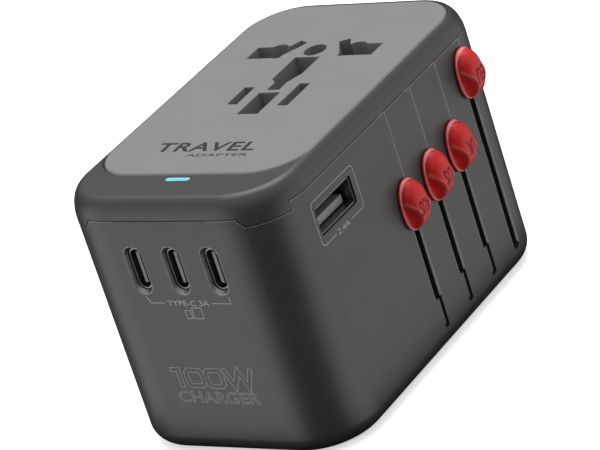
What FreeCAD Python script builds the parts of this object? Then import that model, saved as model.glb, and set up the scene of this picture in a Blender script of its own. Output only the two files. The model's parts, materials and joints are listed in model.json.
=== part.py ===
"""Universal travel adapter with a built-in USB charger, modelled as separate pieces.

Millimetres, +Z up. The origin is on the plug face, midway between the long sides and the
ends of the case. The socket panel is on top, the plug pins leave through the bottom, the
sliders are in the +X side and the three USB-C ports are in the -Y end.
"""

import FreeCAD, Part
import math
import os

V = FreeCAD.Vector

# ---------------------------------------------------------------- case
CASE_W = 53.0            # across the USB-C end, X
CASE_D = 86.0            # long side, Y
CASE_H = 56.4            # plug face to socket face, Z
WALL = 2.2               # side wall
FLOOR = 2.2              # plug face wall
CORNER_R = 13.0          # upright corners
FOOT_R = 3.8             # rounding round the plug face
BROW_IN = 3.0            # top rounding, measured inwards
BROW_DOWN = 5.6          # top rounding, measured downwards

# ---------------------------------------------------------------- cover and its seam
COVER_H = 4.0            # cover edge below the socket face
CORNER_DROP = 2.0        # how much deeper the cover is at the two front corners
DROP_X = 17.3            # where the cover edge starts to dip, from the middle
DROP_RUN = 1.5           # length of the sloping step
DROP_Y = 7.7             # how far the dip reaches back along the sides
SEAM = 0.16              # gap between cover and housing
LIP_T = 1.2              # locating lip inside the housing
LIP_GAP = 0.12
LIP_H = 3.4              # depth of the lip below the cover edge
TRAY_T = 2.1             # ledge that carries the socket panel
STRIP_T = 2.3            # skin of the strip in front of the panel
STRIP_SIDE = 6.5         # solid sides of that strip
STRIP_BACK = 1.2         # solid rear edge of that strip
STRIP_IN = 1.0           # its hollow further in than the wall, to clear the brow

# ---------------------------------------------------------------- socket panel
PANEL_T = 2.4
PANEL_SIDE = 2.5         # margins from the case to the panel
PANEL_BACK = 2.9
PANEL_FRONT = 11.3
PANEL_R = 10.4
PANEL_GAP = 0.14
EDGE = 0.3               # small chamfers on visible edges
DECK_DROP = 3.1          # guide block under the panel
DECK_X = 17.6            # half width of the guide block and the contact block
DECK_FRONT = -10.0
DECK_BACK = 25.0

# socket holes
UK_PITCH_Y = 22.2        # line and neutral to earth
UK_PITCH_X = 22.2        # line to neutral
UK_HOLE = (8.2, 5.0)
UK_EARTH_HOLE = (5.0, 8.9)
SOCKET_UK_Y = 18.9       # row of line and neutral holes
EU_PITCH = 19.0
EU_HOLE_R = 2.4
SOCKET_EU_Y = 20.0
US_PITCH = 12.7
US_LIVE_HOLE = (2.5, 7.2)
US_NEUTRAL_HOLE = (2.5, 9.2)
SOCKET_US_Y = 0.1
AU_HOLE = (2.4, 7.8)
AU_PITCH = 13.72
AU_TILT = 30.0
SOCKET_AU_Y = 20.0
GROUND_HOLE = ((-1.5, 2.3), (1.5, 2.3), (1.5, 5.3), (3.0, 9.0),
               (3.0, 16.3), (-3.0, 16.3), (-3.0, 7.0), (-1.5, 5.6))
GROUND_CAVITY_X = 6.0    # the contact cavity is only under the hole's wide part
GROUND_CAVITY_Y = 7.0
ROUND_EARTH_R = 2.43
ROUND_EARTH_Y = 19.4

# ---------------------------------------------------------------- shutter and contacts
SHUTTER_T = 1.6
SHUTTER_GAP = 0.35
SHUTTER_BACK = 24.4
SHUTTER_IN = 4.4         # inner edge of the pads, from the middle
SHUTTER_SIDE = 0.4       # side rails beyond the guide block
SHUTTER_RAIL = 1.5       # width of the side rails
SHUTTER_REAR_PAD = 9.2   # depth of the pads under the line holes
SHUTTER_FRONT_PAD = 10.4  # depth of the pads under the US holes
SHUTTER_BRIDGE = (10.0, 2.0)
SPRING_R = 0.95          # middle of the coil
SPRING_WIRE = 0.3        # wire diameter
SPRING_LENGTH = 13.2
SPRING_TURNS = 9
SPRING_STOP = (6.0, 1.0)  # stop under the cover, X and Y
BLOCK_H = 10.0           # socket contact block
CAVITY_GROW = 0.5        # contact cavities are wider than the holes above
LEAF_T = 0.4
LEAF_H = 7.5
UK_LEAF_W = 6.0          # leaves either side of a UK line pin
UK_LEAF_GAP = 0.25       # those leaves beyond the pin hole
LEAF_W = 5.0             # all other leaves
US_LEAF_X = 1.5          # leaves beside a US blade, from its middle
EARTH_LEAF_X = 2.75      # leaves beside the UK earth pin
GROUND_LEAF_X = 3.25     # leaves beside the US earth pin
GROUND_LEAF_Y = 12.0
CONTACT_T = 0.6          # base strips
SIDE_STRIP_X = (4.6, 15.6)
SIDE_STRIP_Y = (-4.6, 23.6)
EARTH_STRIP_X = 3.4      # half width
EARTH_STRIP_Y = (-8.0, 21.0)

# ---------------------------------------------------------------- sliders
SLOT_PITCH = 10.3
SLOT_W = 2.15
FIRST_SLOT_Y = -1.6      # the AU slider
SLOT_END = 4.5           # rounded end above the plug face
STEP_Z = 11.1            # where the short sliders stop
TAIL_W = 1.0             # narrow tail below the step
HOOK_W = 1.7
SLOT_EDGE = 0.35
NECK_GAP = 0.075         # neck in its slot, each side
TONGUE_GAP = 0.17        # tongue in its slot, on its +Y side
TONGUE_FIT = 0.03        # tongue in its slot, on its -Y side
KNOB_Z = {"au": 32.55, "us": 33.35, "uk": 34.25, "eu": 45.175}  # knob centres at rest
NECK_H = {"au": 5.5, "us": 5.5, "uk": 5.5, "eu": 5.2}
NECK_DOWN = 0.35         # middle of a neck below the middle of its knob
STOP_GAP = 0.15          # under a neck at the end of its travel
TONGUE_CLEAR = 0.5       # above a neck at rest
KNOB_W = 7.2
KNOB_H = 10.9
KNOB_OUT = 3.75          # how far a knob stands off the case
KNOB_GAP = 0.2           # under the knob
KNOB_R = 3.5
KNOB_RIM = 0.55          # thickness of the rim at the knob's foot
KNOB_IN = 0.3            # dome inside the rim
KNOB_DOME = 6.6          # height of the domed upper part
KNOB_DOME_EDGE = 2.4
KNOB_BAR = 4.0           # width of the raised bar
KNOB_BAR_EDGE = 0.35
KNOB_TOE = 2.2           # slope at the lower end of the bar
KNOB_SEAT = 1.6          # how far the neck enters the knob
SIDE_GAP = 0.3           # carriage to the inside of the wall
PLATE_T = 4.0            # carriage plates
PLATE_Z = 31.0
PLATE_GAP = 0.35
NECK_ROOT = 4.0          # neck inside its carriage
AU_PLATE_Y = (-3.6, 5.6)  # front and back edge from the slot's middle
AU_PAD_X = (4.4, 10.6)
AU_BRIDGE = 4.0          # depth of the bridge between the pads
AU_ARM_Y = (-2.0, 4.0)
US_PLATE_Y = (-3.5, 3.5)
US_PLATE_X = -12.0       # its far edge
UK_PLATE_Y = (-3.5, 4.5)  # from the row of line pins
UK_PLATE_X = -22.0       # its far edge
UK_SPINE = 4.5           # width of the side spine
UK_CROSS = 4.4           # depth of the cross arm
UK_PAD_X = 3.2           # half width of the pad round the earth pin
UK_PAD_EDGE = (0.8, 0.4)  # pad in front of and behind the earth pin
EU_ARM_Y = (-1.2, 2.6)

# ---------------------------------------------------------------- plug pins
UK_PIN = (6.35, 4.0)
UK_EARTH_PIN = (4.0, 8.0)
UK_PIN_OUT = 17.7
UK_EARTH_OUT = 19.6
US_BLADE = (1.5, 6.35)
US_BLADE_OUT = 17.0
AU_BLADE = (1.6, 6.35)
AU_BLADE_OUT = 17.1
EU_PIN_R = 2.0           # bare end of the pin
EU_SHANK_R = 1.8         # the same pin in the boss, and its sleeve outside
EU_PIN_OUT = 19.0
EU_NOSE_R = 1.4          # rounding of the pin's end
EU_TIP = 0.3             # EU pin tips above the plug face at rest
EU_BOSS = (30.0, 12.4)
EU_BOSS_R = 5.2
EU_BOSS_Y = 32.8
EU_BOSS_H = 17.7
EU_STEM = (26.0, 9.6)
EU_STEM_R = 3.0
UK_ROW_Y = 17.0          # UK line and neutral pins on the plug face
PIN_GAP = 0.3            # pins in the plug face
UK_PIN_EDGE = 0.6        # chamfers at the pins' ends
UK_EARTH_EDGE = 0.8
BLADE_EDGE = 0.35
SLEEVE_T = 0.3           # insulating sleeves on the pins
UK_SLEEVE_L = 9.0
EU_SLEEVE_L = 10.0
WELL_GAP = 0.3
WELL_T = 0.9
WELL_TOP = 5.3
WIPER_T = 0.4
WIPER_X = {"au": (6.5, 10.1), "us": (6.0, 11.8), "uk": (9.2, 13.2), "eu": (8.4, 11.4)}
AU_WIPER_Y = 0.5         # AU wipers start this far behind the blades' middle
BUS_T = 0.6
BUS_X = (8.2, 14.0)
BUS_FOOT = 12.0          # lower end of the bus bar legs
BUS_BACK = 0.7           # rear leg in front of the guide block's rear face

# ---------------------------------------------------------------- ports
USBC_PITCH = 9.0
USBC_Z = 41.6
USBC_SHELL = (3.26, 8.94)
USBC_WALL = 0.3
USBC_FLOOR = 1.0         # closed back of the shell
USBC_LENGTH = 7.35
USBC_SET_BACK = 1.0      # shell behind the end face
USBC_RIM = (4.2, 10.5)   # mouth of the recess in the end face
USBC_TONGUE = (0.7, 6.7)
USBC_TONGUE_IN = 1.5     # tongue behind the end face
PORT_GAP = 0.15
USBA_Y = -23.85
USBA_Z = 44.8
USBA_SHELL = (13.2, 5.6)
USBA_WALL = 0.3
USBA_LENGTH = 14.0
USBA_SET_BACK = 0.4
USBA_R = 0.5             # corners of the shell
USBA_TONGUE = (11.1, 1.6)
USBA_TONGUE_IN = 2.4     # tongue behind the side face
USBA_TONGUE_UP = 0.3     # tongue above the shell's lower wall
USBA_BASE = 3.0          # solid back of the tongue piece
USBA_BASE_FIT = 0.1

# ---------------------------------------------------------------- charger
BOARD_T = 1.6
BOARD_Z = 7.2
BOARD_BACK = -17.2
BOARD_SIDE = 2.6         # main board from the inside of the side walls
BOARD_FRONT = 1.0        # main board from the inside of the end wall
BOARD_R = 8.5
BOARD_GAP = 0.4          # boards and barrier from the walls they stand beside
SIDE_BOARD_X = 14.5      # small board under the USB-A shell
SIDE_BOARD_Y = (-7.2, 6.5)
PORT_BOARD_X = 16.0
PORT_BOARD_TOP = 46.0
BARRIER_Y = -11.4        # rear face of the barrier
BARRIER_T = 1.0
CORE = (17.0, 14.6, 17.0)
CORE_AT = (-10.5, -25.0)
CORE_LIMB = (2.2, 2.5)   # side limbs and yokes
CORE_LEG_R = 3.0
WINDING_FIT = 0.1        # winding inside the core's side limbs
BULK_CAP = (4.3, 20.0)   # mains capacitors, radius and height
BULK_CAPS_AT = ((7.0, -27.0), (16.4, -27.0))
OUT_CAP = (2.35, 9.2)    # output capacitors
OUT_CAP_IN = 2.6         # in front of the port board
CHOKE = (3.2, 1.5)       # ring and winding radius
CHOKE_X = 11.5
CHOKE_IN = 1.6           # in front of the main board's rear edge
PLATE_IN = 0.5           # heat spreader from the side wall
PLATE_H = 28.0
PLATE_SHEET = 1.0        # its thickness
PLATE_FOOT = 3.4         # width of its folded foot
PLATE_Y = (-6.0, 0.4)    # front edge from the core, rear edge from the board's
SWITCH = (1.4, 4.6, 6.0)
SWITCH_Y = (-5.4, 0.8)   # front edges, from the core's middle
SWITCH_UP = 3.0
FUSE = (2.6, 20.0)
FUSE_CLIP = (3.2, 0.5, 1.2)  # width, thickness over the fuse, front edge before its axis
FUSE_CLIP_IN = 0.8       # clips from the ends of the fuse
FUSE_AT = (-16.0, 34.0)  # y and z of its axis
LIGHT = (5.6, 1.2)
LIGHT_INSET = 2.1        # status light in front of the panel
LIGHT_FIT = 0.1          # pipe in the cover, over its whole width
LED = (1.6, 0.8, 0.9)
LED_GAP = 0.4            # under the light pipe
SCREW_R = 1.1
SCREW_HEAD = (2.0, 1.3)
SCREW_L = 8.0            # bore in a boss
SCREW_FIT = 0.1          # round and under a screw head
SCREW_END = 0.5          # bore past the end of a screw
BOSS_R = 2.3
BOSS_L = 9.5
BOSS_GAP = 0.3           # round a boss, inside the cover's lip
TRAY_GAP = 0.2           # between a boss and the panel tray
BOSS_INSET = 6.6         # rear bosses from the outside of both walls
FRONT_BOSS_IN = 2.0      # front bosses from the inside of the side walls
FRONT_BOSS_Y = -14.7
POST_R = 2.0             # posts under the main board
POST_IN = 7.0            # posts from the inside of the side walls
POST_FRONT = 9.0         # front posts behind the end face
POST_BACK = 2.5          # rear posts in front of the board's rear edge

# ---------------------------------------------------------------- places worked out from these
IN_X = CASE_W / 2 - WALL
IN_Y = CASE_D / 2 - WALL
FACE_X = CASE_W / 2
COVER_Z = CASE_H - COVER_H
PANEL_Z = CASE_H - PANEL_T
TRAY_Z = PANEL_Z - TRAY_T
DECK_Z = PANEL_Z - DECK_DROP
SHUTTER_Z = DECK_Z - SHUTTER_GAP - SHUTTER_T
BLOCK_TOP = SHUTTER_Z - SHUTTER_GAP
BLOCK_Z = BLOCK_TOP - BLOCK_H
CONTACT_Z = BLOCK_Z - CONTACT_T
AU_Y = FIRST_SLOT_Y
US_Y = AU_Y + SLOT_PITCH
UK_Y = US_Y + SLOT_PITCH
EU_Y = UK_Y + SLOT_PITCH
SLOT_Y = {"au": AU_Y, "us": US_Y, "uk": UK_Y, "eu": EU_Y}
STOP_Z = {"au": STEP_Z, "us": STEP_Z, "uk": STEP_Z, "eu": SLOT_END + SLOT_W / 2}
NECK_Z = {key: KNOB_Z[key] - NECK_DOWN - NECK_H[key] / 2 for key in KNOB_Z}
NECK_TOP = {key: NECK_Z[key] + NECK_H[key] for key in KNOB_Z}
TRAVEL = {key: NECK_Z[key] - STOP_Z[key] - STOP_GAP for key in KNOB_Z}
UK_EARTH_Y = UK_ROW_Y - UK_PITCH_Y
PLATE_TOP = PLATE_Z + PLATE_T
EU_BOSS_Z = EU_TIP + EU_PIN_OUT
EU_TOP = NECK_TOP["eu"]
BOARD_TOP = BOARD_Z + BOARD_T
USBC_BACK = -CASE_D / 2 + USBC_SET_BACK + USBC_LENGTH
PANEL_FRONT_Y = -CASE_D / 2 + PANEL_FRONT
LIGHT_Y = PANEL_FRONT_Y - LIGHT_INSET
BOSS_AT = ((FACE_X - BOSS_INSET, CASE_D / 2 - BOSS_INSET),
           (-FACE_X + BOSS_INSET, CASE_D / 2 - BOSS_INSET),
           (IN_X - FRONT_BOSS_IN, FRONT_BOSS_Y), (-IN_X + FRONT_BOSS_IN, FRONT_BOSS_Y))
BOSS_TOP = TRAY_Z - TRAY_GAP


# ---------------------------------------------------------------- shape helpers
def box(x0, x1, y0, y1, z0, z1):
    return Part.makeBox(x1 - x0, y1 - y0, z1 - z0, V(x0, y0, z0))


def block(cx, cy, size, z0, z1):
    """Upright box on a centre, size = (x, y)."""
    return box(cx - size[0] / 2, cx + size[0] / 2, cy - size[1] / 2, cy + size[1] / 2, z0, z1)


def rod(r, x, y, z0, z1):
    return Part.makeCylinder(r, z1 - z0, V(x, y, z0))


def rounded_wire(x0, x1, y0, y1, r, z):
    """Closed outline of a rectangle with round corners, at height z."""
    k = r * (1 - math.sqrt(0.5))
    edges = [Part.LineSegment(V(x0 + r, y0, z), V(x1 - r, y0, z)).toShape(),
             Part.Arc(V(x1 - r, y0, z), V(x1 - k, y0 + k, z), V(x1, y0 + r, z)).toShape(),
             Part.LineSegment(V(x1, y0 + r, z), V(x1, y1 - r, z)).toShape(),
             Part.Arc(V(x1, y1 - r, z), V(x1 - k, y1 - k, z), V(x1 - r, y1, z)).toShape(),
             Part.LineSegment(V(x1 - r, y1, z), V(x0 + r, y1, z)).toShape(),
             Part.Arc(V(x0 + r, y1, z), V(x0 + k, y1 - k, z), V(x0, y1 - r, z)).toShape(),
             Part.LineSegment(V(x0, y1 - r, z), V(x0, y0 + r, z)).toShape(),
             Part.Arc(V(x0, y0 + r, z), V(x0 + k, y0 + k, z), V(x0 + r, y0, z)).toShape()]
    return Part.Wire(edges)


def rounded_plate(x0, x1, y0, y1, r, z0, z1):
    """Upright prism with round corners."""
    face = Part.Face(rounded_wire(x0, x1, y0, y1, r, z0))
    return face.extrude(V(0, 0, z1 - z0))


def pill(cx, cy, size, z0, z1):
    """Upright prism with fully round ends, a little short of a full half circle."""
    r = min(size) * 0.499
    return rounded_plate(cx - size[0] / 2, cx + size[0] / 2, cy - size[1] / 2, cy + size[1] / 2,
                         r, z0, z1)


def prism(points, z0, z1):
    """Upright prism over a polygon."""
    wire = Part.makePolygon([V(x, y, z0) for x, y in points] + [V(*points[0], z0)])
    return Part.Face(wire).extrude(V(0, 0, z1 - z0))


def spun(shape, angle, x, y):
    """A copy turned about the upright line through (x, y)."""
    turned = shape.copy()
    turned.rotate(V(x, y, 0), V(0, 0, 1), angle)
    return turned


def to_side(shape):
    """Lays an upright shape on the +X side: its x, y, z become y, z, x."""
    laid = shape.copy()
    turn = FreeCAD.Rotation(V(0, 1, 0), V(0, 0, 1), V(1, 0, 0), "ZXY")
    laid.Placement = FreeCAD.Placement(V(0, 0, 0), turn)
    return laid


def to_end(shape):
    """Lays an upright shape on the -Y end: its x, y, z become x, z, -y."""
    laid = shape.copy()
    turn = FreeCAD.Rotation(V(1, 0, 0), V(0, 0, 1), V(0, -1, 0), "ZXY")
    laid.Placement = FreeCAD.Placement(V(0, 0, 0), turn)
    return laid


def mirrored(shape):
    """The same shape on the other side of the middle plane."""
    return shape.mirror(V(0, 0, 0), V(1, 0, 0))


def join(first, *others):
    return first.fuse(list(others)).removeSplitter()


def cut(base, *tools):
    return base.cut(list(tools))


def case_plate(inset, z0, z1):
    """Prism of the case's plan, set in by an even margin."""
    x = CASE_W / 2 - inset
    y = CASE_D / 2 - inset
    return rounded_plate(-x, x, -y, y, CORNER_R - inset, z0, z1)


# ---------------------------------------------------------------- case
def brow_cutter():
    """What the elliptical rounding takes off the top edge."""
    centre = V(0, -CASE_D / 2 + BROW_IN, CASE_H - BROW_DOWN)
    top = V(0, -CASE_D / 2 + BROW_IN, CASE_H)
    side = V(0, -CASE_D / 2, CASE_H - BROW_DOWN)
    ellipse = Part.Ellipse(top, side, centre)
    start = ellipse.parameter(side)
    end = ellipse.parameter(top)
    if start > end:
        start, end = end, start
    arc = Part.ArcOfEllipse(ellipse, start, end).toShape()
    outside = 2.0
    loop = [V(0, side.y, side.z), V(0, side.y - outside, side.z),
            V(0, side.y - outside, CASE_H + outside), V(0, top.y, CASE_H + outside), top]
    profile = Part.Wire(Part.__sortEdges__([arc] + Part.makePolygon(loop).Edges))
    path = rounded_wire(-CASE_W / 2, CASE_W / 2, -CASE_D / 2, CASE_D / 2, CORNER_R, CASE_H)
    return path.makePipeShell([profile], True, False)


def outer_body():
    """The whole outside: round corners, rounded foot and brow."""
    body = case_plate(0, 0, CASE_H)
    foot = [e for e in body.Edges if e.BoundBox.ZMax < 0.01]
    body = body.makeFillet(FOOT_R, foot)
    return body.cut(brow_cutter())


def cover_zone(grow):
    """Space that belongs to the cover. It dips at the two front corners."""
    far = CASE_D
    level = COVER_Z - grow
    low = level - CORNER_DROP
    x = DROP_X - grow
    dip = [(x, level + 1), (x, level), (x + DROP_RUN, low), (far, low), (far, level + 1)]
    wire = Part.makePolygon([V(a, -far, b) for a, b in dip] + [V(dip[0][0], -far, dip[0][1])])
    corner = Part.Face(wire).extrude(V(0, far - CASE_D / 2 + DROP_Y + grow, 0))
    return join(box(-far, far, -far, far, level, CASE_H + 5), corner, mirrored(corner))


def slot_cutter(y, stepped):
    """Slot with a round end, a softened outer edge at the back and, where stepped, a narrow tail."""
    half = SLOT_W / 2
    x0 = IN_X - 1
    x1 = FACE_X + 1
    bottom = STEP_Z if stepped else SLOT_END + half
    parts = [box(x0, x1, y - half, y + half, bottom, CASE_H)]
    wide = half + SLOT_EDGE
    bevel = [(FACE_X - SLOT_EDGE, y + half), (x1, y + half), (x1, y + wide), (FACE_X, y + wide)]
    parts.append(prism(bevel, bottom, COVER_Z))
    if stepped:
        tail = y + half - TAIL_W / 2
        end = SLOT_END + TAIL_W / 2
        parts.append(box(x0, x1, tail - TAIL_W / 2, tail + TAIL_W / 2, end, STEP_Z + 0.1))
        parts.append(to_side(pill(tail + TAIL_W / 2 - HOOK_W / 2, end, (HOOK_W, TAIL_W), x0, x1)))
    else:
        parts.append(to_side(rod(half, y, bottom, x0, x1)))
    return join(*parts)


def tongue(key):
    """Strip of the cover that closes a slot above its slider."""
    y0 = SLOT_Y[key] - SLOT_W / 2 + TONGUE_FIT
    y1 = SLOT_Y[key] + SLOT_W / 2 - TONGUE_GAP
    return box(IN_X, FACE_X, y0, y1, NECK_TOP[key] + TONGUE_CLEAR, COVER_Z + 1)


def usbc_xs():
    return (-USBC_PITCH, 0.0, USBC_PITCH)


def usbc_openings():
    """Openings in the end wall, each with a recess that narrows down to its shell."""
    face = CASE_D / 2
    size = (USBC_SHELL[0] + 2 * PORT_GAP, USBC_SHELL[1] + 2 * PORT_GAP)
    tools = []
    for x in usbc_xs():
        tools.append(to_end(pill(x, USBC_Z, size, face - WALL - 1, face + 1)))
        rims = []
        for z, (w, h) in ((face - USBC_SET_BACK, size), (face, USBC_RIM)):
            rims.append(rounded_wire(x - w / 2, x + w / 2, USBC_Z - h / 2, USBC_Z + h / 2,
                                     w * 0.499, z))
        tools.append(to_end(Part.makeLoft(rims, True)))
    return tools


def usba_opening():
    y = USBA_SHELL[0] / 2 + PORT_GAP
    z = USBA_SHELL[1] / 2 + PORT_GAP
    return to_side(rounded_plate(USBA_Y - y, USBA_Y + y, USBA_Z - z, USBA_Z + z,
                                 USBA_R + PORT_GAP, IN_X - 1, FACE_X + 1))


def au_blade(sign, grow, z0, z1):
    """One slanted AU blade, or the hole for it."""
    x = sign * AU_PITCH / 2
    size = (AU_BLADE[0] + 2 * grow, AU_BLADE[1] + 2 * grow)
    return spun(block(x, AU_Y, size, z0, z1), sign * AU_TILT, x, AU_Y)


def us_blade(sign, grow, z0, z1):
    size = (US_BLADE[0] + 2 * grow, US_BLADE[1] + 2 * grow)
    return block(sign * US_PITCH / 2, US_Y, size, z0, z1)


def uk_pin(sign, grow, z0, z1):
    size = (UK_PIN[0] + 2 * grow, UK_PIN[1] + 2 * grow)
    return block(sign * UK_PITCH_X / 2, UK_ROW_Y, size, z0, z1)


def uk_earth(grow, z0, z1):
    size = (UK_EARTH_PIN[0] + 2 * grow, UK_EARTH_PIN[1] + 2 * grow)
    return block(0, UK_EARTH_Y, size, z0, z1)


def eu_boss(grow, z0, z1):
    x = EU_BOSS[0] / 2 + grow
    y = EU_BOSS[1] / 2 + grow
    return rounded_plate(-x, x, EU_BOSS_Y - y, EU_BOSS_Y + y, EU_BOSS_R + grow, z0, z1)


def pin_holes():
    """Holes in the plug face for every pin and for the EU boss."""
    z0 = -1
    z1 = FLOOR + 1
    holes = [uk_earth(PIN_GAP, z0, z1), eu_boss(WELL_GAP, z0, z1)]
    for sign in (-1, 1):
        holes.append(uk_pin(sign, PIN_GAP, z0, z1))
        holes.append(us_blade(sign, PIN_GAP, z0, z1))
        holes.append(au_blade(sign, PIN_GAP, z0, z1))
    return holes


def main_housing():
    """Lower shell with the slots, ports, pin holes, board posts and screw bosses."""
    shell = outer_body().cut(case_plate(WALL, FLOOR, CASE_H + 1))
    shell = shell.cut(cover_zone(SEAM / 2))
    tools = [slot_cutter(y, key != "eu") for key, y in SLOT_Y.items()]
    tools += usbc_openings() + [usba_opening()] + pin_holes()
    shell = cut(shell, *tools)
    inside = case_plate(WALL / 2, FLOOR / 2, CASE_H)
    extras = [rod(BOSS_R, x, y, BOSS_TOP - BOSS_L, BOSS_TOP).common(inside) for x, y in BOSS_AT]
    for x in (-IN_X + POST_IN, IN_X - POST_IN):
        for y in (-CASE_D / 2 + POST_FRONT, BOARD_BACK - POST_BACK):
            extras.append(rod(POST_R, x, y, FLOOR / 2, BOARD_Z))
    shell = join(shell, *extras)
    bores = [rod(SCREW_R, x, y, BOSS_TOP - SCREW_L, BOSS_TOP + 1) for x, y in BOSS_AT]
    return cut(shell, *bores)


def panel_outline(grow, z0, z1):
    x = CASE_W / 2 - PANEL_SIDE + grow
    y0 = PANEL_FRONT_Y - grow
    y1 = CASE_D / 2 - PANEL_BACK + grow
    return rounded_plate(-x, x, y0, y1, PANEL_R + grow, z0, z1)


def panel_bevel():
    """Bevel round the mouth of the cover's recess."""
    x = CASE_W / 2 - PANEL_SIDE
    y0 = PANEL_FRONT_Y
    y1 = CASE_D / 2 - PANEL_BACK
    rims = []
    for grow, z in ((PANEL_GAP, CASE_H - EDGE), (PANEL_GAP + 2 * EDGE, CASE_H + EDGE)):
        rims.append(rounded_wire(-x - grow, x + grow, y0 - grow, y1 + grow, PANEL_R + grow, z))
    return Part.makeLoft(rims, True)


def top_cover():
    """Cover with its panel recess, locating lip, slot tongues and spring stop."""
    cover = outer_body().common(cover_zone(-SEAM / 2)).cut(case_plate(WALL, 0, TRAY_Z))
    lip = case_plate(WALL + LIP_GAP, COVER_Z - LIP_H, PANEL_Z + 0.5)
    lip = lip.cut(case_plate(WALL + LIP_GAP + LIP_T, 0, TRAY_Z))
    lip = cut(lip, *[rod(BOSS_R + BOSS_GAP, x, y, 0, TRAY_Z) for x, y in BOSS_AT])
    pieces = [lip] + [tongue(key) for key in SLOT_Y]
    stop_y = SHUTTER_BACK + SPRING_LENGTH + SPRING_STOP[1] / 2
    pieces.append(block(0, stop_y, SPRING_STOP, SHUTTER_Z, TRAY_Z + 0.5))
    cover = join(cover, *pieces).cut(brow_cutter())
    cover = cut(cover, panel_outline(PANEL_GAP, PANEL_Z, CASE_H + 1), panel_bevel())
    deck = DECK_X + PORT_GAP
    hollow_x = FACE_X - STRIP_SIDE
    front_hollow = box(-hollow_x, hollow_x, -IN_Y, PANEL_FRONT_Y - STRIP_BACK, 0, CASE_H - STRIP_T)
    front_hollow = front_hollow.common(case_plate(WALL + STRIP_IN, 0, CASE_H))
    tools = [box(-deck, deck, DECK_FRONT - PORT_GAP, DECK_BACK + PORT_GAP, TRAY_Z - 1, CASE_H),
             front_hollow, pill(0, LIGHT_Y, [w + LIGHT_FIT for w in LIGHT], 0, CASE_H + 1)]
    for x, y in BOSS_AT:
        tools.append(rod(SCREW_R, x, y, 0, CASE_H))
        tools.append(rod(SCREW_HEAD[0] + SCREW_FIT, x, y, PANEL_Z - SCREW_HEAD[1] - SCREW_FIT, PANEL_Z + 1))
    return cut(cover, *tools)


# ---------------------------------------------------------------- sockets
def slanted_hole(sign, grow, z0, z1):
    x = sign * AU_PITCH / 2
    size = (AU_HOLE[0] + 2 * grow, AU_HOLE[1] + 2 * grow)
    return spun(block(x, SOCKET_AU_Y, size, z0, z1), sign * AU_TILT, x, SOCKET_AU_Y)


def line_hole(sign, grow, z0, z1):
    """UK, EU and AU entries on one side, run into one hole."""
    uk = (UK_HOLE[0] + 2 * grow, UK_HOLE[1] + 2 * grow)
    return join(block(sign * UK_PITCH_X / 2, SOCKET_UK_Y, uk, z0, z1),
                rod(EU_HOLE_R + grow, sign * EU_PITCH / 2, SOCKET_EU_Y, z0, z1),
                slanted_hole(sign, grow, z0, z1))


def socket_holes(grow, z0, z1):
    """Every entry of the socket panel as a cutter."""
    wide = 2 * grow
    live = (US_LIVE_HOLE[0] + wide, US_LIVE_HOLE[1] + wide)
    neutral = (US_NEUTRAL_HOLE[0] + wide, US_NEUTRAL_HOLE[1] + wide)
    earth = (UK_EARTH_HOLE[0] + wide, UK_EARTH_HOLE[1] + wide)
    ground = prism(GROUND_HOLE, z0, z1)
    if grow:
        rear = [y for x, y in GROUND_HOLE if y > GROUND_CAVITY_Y]
        depth = max(rear) - GROUND_CAVITY_Y + wide
        ground = block(0, (max(rear) + GROUND_CAVITY_Y) / 2, (GROUND_CAVITY_X + wide, depth), z0, z1)
    return [line_hole(-1, grow, z0, z1), line_hole(1, grow, z0, z1),
            block(-US_PITCH / 2, SOCKET_US_Y, live, z0, z1),
            block(US_PITCH / 2, SOCKET_US_Y, neutral, z0, z1),
            block(0, SOCKET_UK_Y - UK_PITCH_Y, earth, z0, z1),
            ground, rod(ROUND_EARTH_R, 0, ROUND_EARTH_Y, z0, z1)]


def socket_panel():
    """Panel plate and the guide block moulded under it."""
    plate = panel_outline(0, PANEL_Z, CASE_H)
    rim = [e for e in plate.Edges if e.BoundBox.ZMin > CASE_H - 0.01]
    plate = plate.makeChamfer(EDGE, rim)
    deck = box(-DECK_X, DECK_X, DECK_FRONT, DECK_BACK, DECK_Z, PANEL_Z + 0.5)
    return cut(join(plate, deck), *socket_holes(0, DECK_Z - 1, CASE_H + 1))


def contact_block():
    """Insulating block whose cavities hold the socket contacts."""
    body = box(-DECK_X, DECK_X, DECK_FRONT, DECK_BACK - 0.1, BLOCK_Z, BLOCK_TOP)
    return cut(body, *socket_holes(CAVITY_GROW, BLOCK_Z - 1, BLOCK_TOP + 1))


def shutter():
    """Sliding shutter that covers the line and neutral entries."""
    z0 = SHUTTER_Z
    z1 = SHUTTER_Z + SHUTTER_T
    arm = DECK_X + SHUTTER_SIDE
    front = SOCKET_US_Y - SHUTTER_FRONT_PAD / 2
    pads = [box(SHUTTER_IN, arm, SHUTTER_BACK - SHUTTER_REAR_PAD, SHUTTER_BACK, z0, z1),
            box(SHUTTER_IN, arm, front, front + SHUTTER_FRONT_PAD, z0, z1),
            box(arm - SHUTTER_RAIL, arm, front, SHUTTER_BACK, z0, z1)]
    pads += [mirrored(pad) for pad in pads]
    bridge = block(0, SHUTTER_BACK - SHUTTER_BRIDGE[1] / 2, SHUTTER_BRIDGE, z0, z1)
    return join(bridge, *pads)


def shutter_spring():
    """Return spring between the shutter and the stop under the cover."""
    free = SPRING_LENGTH - SPRING_WIRE
    helix = Part.makeHelix(free / SPRING_TURNS, free, SPRING_R)
    start = V(SPRING_R, 0, 0)
    ring = Part.Wire(Part.makeCircle(SPRING_WIRE / 2, start, V(0, 1, 0)))
    coil = Part.Wire(helix).makePipeShell([ring], True, True)
    coil.rotate(V(0, 0, 0), V(1, 0, 0), -90)
    coil.translate(V(0, SHUTTER_BACK + SPRING_WIRE / 2, SHUTTER_Z + SHUTTER_T / 2))
    return coil


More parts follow.
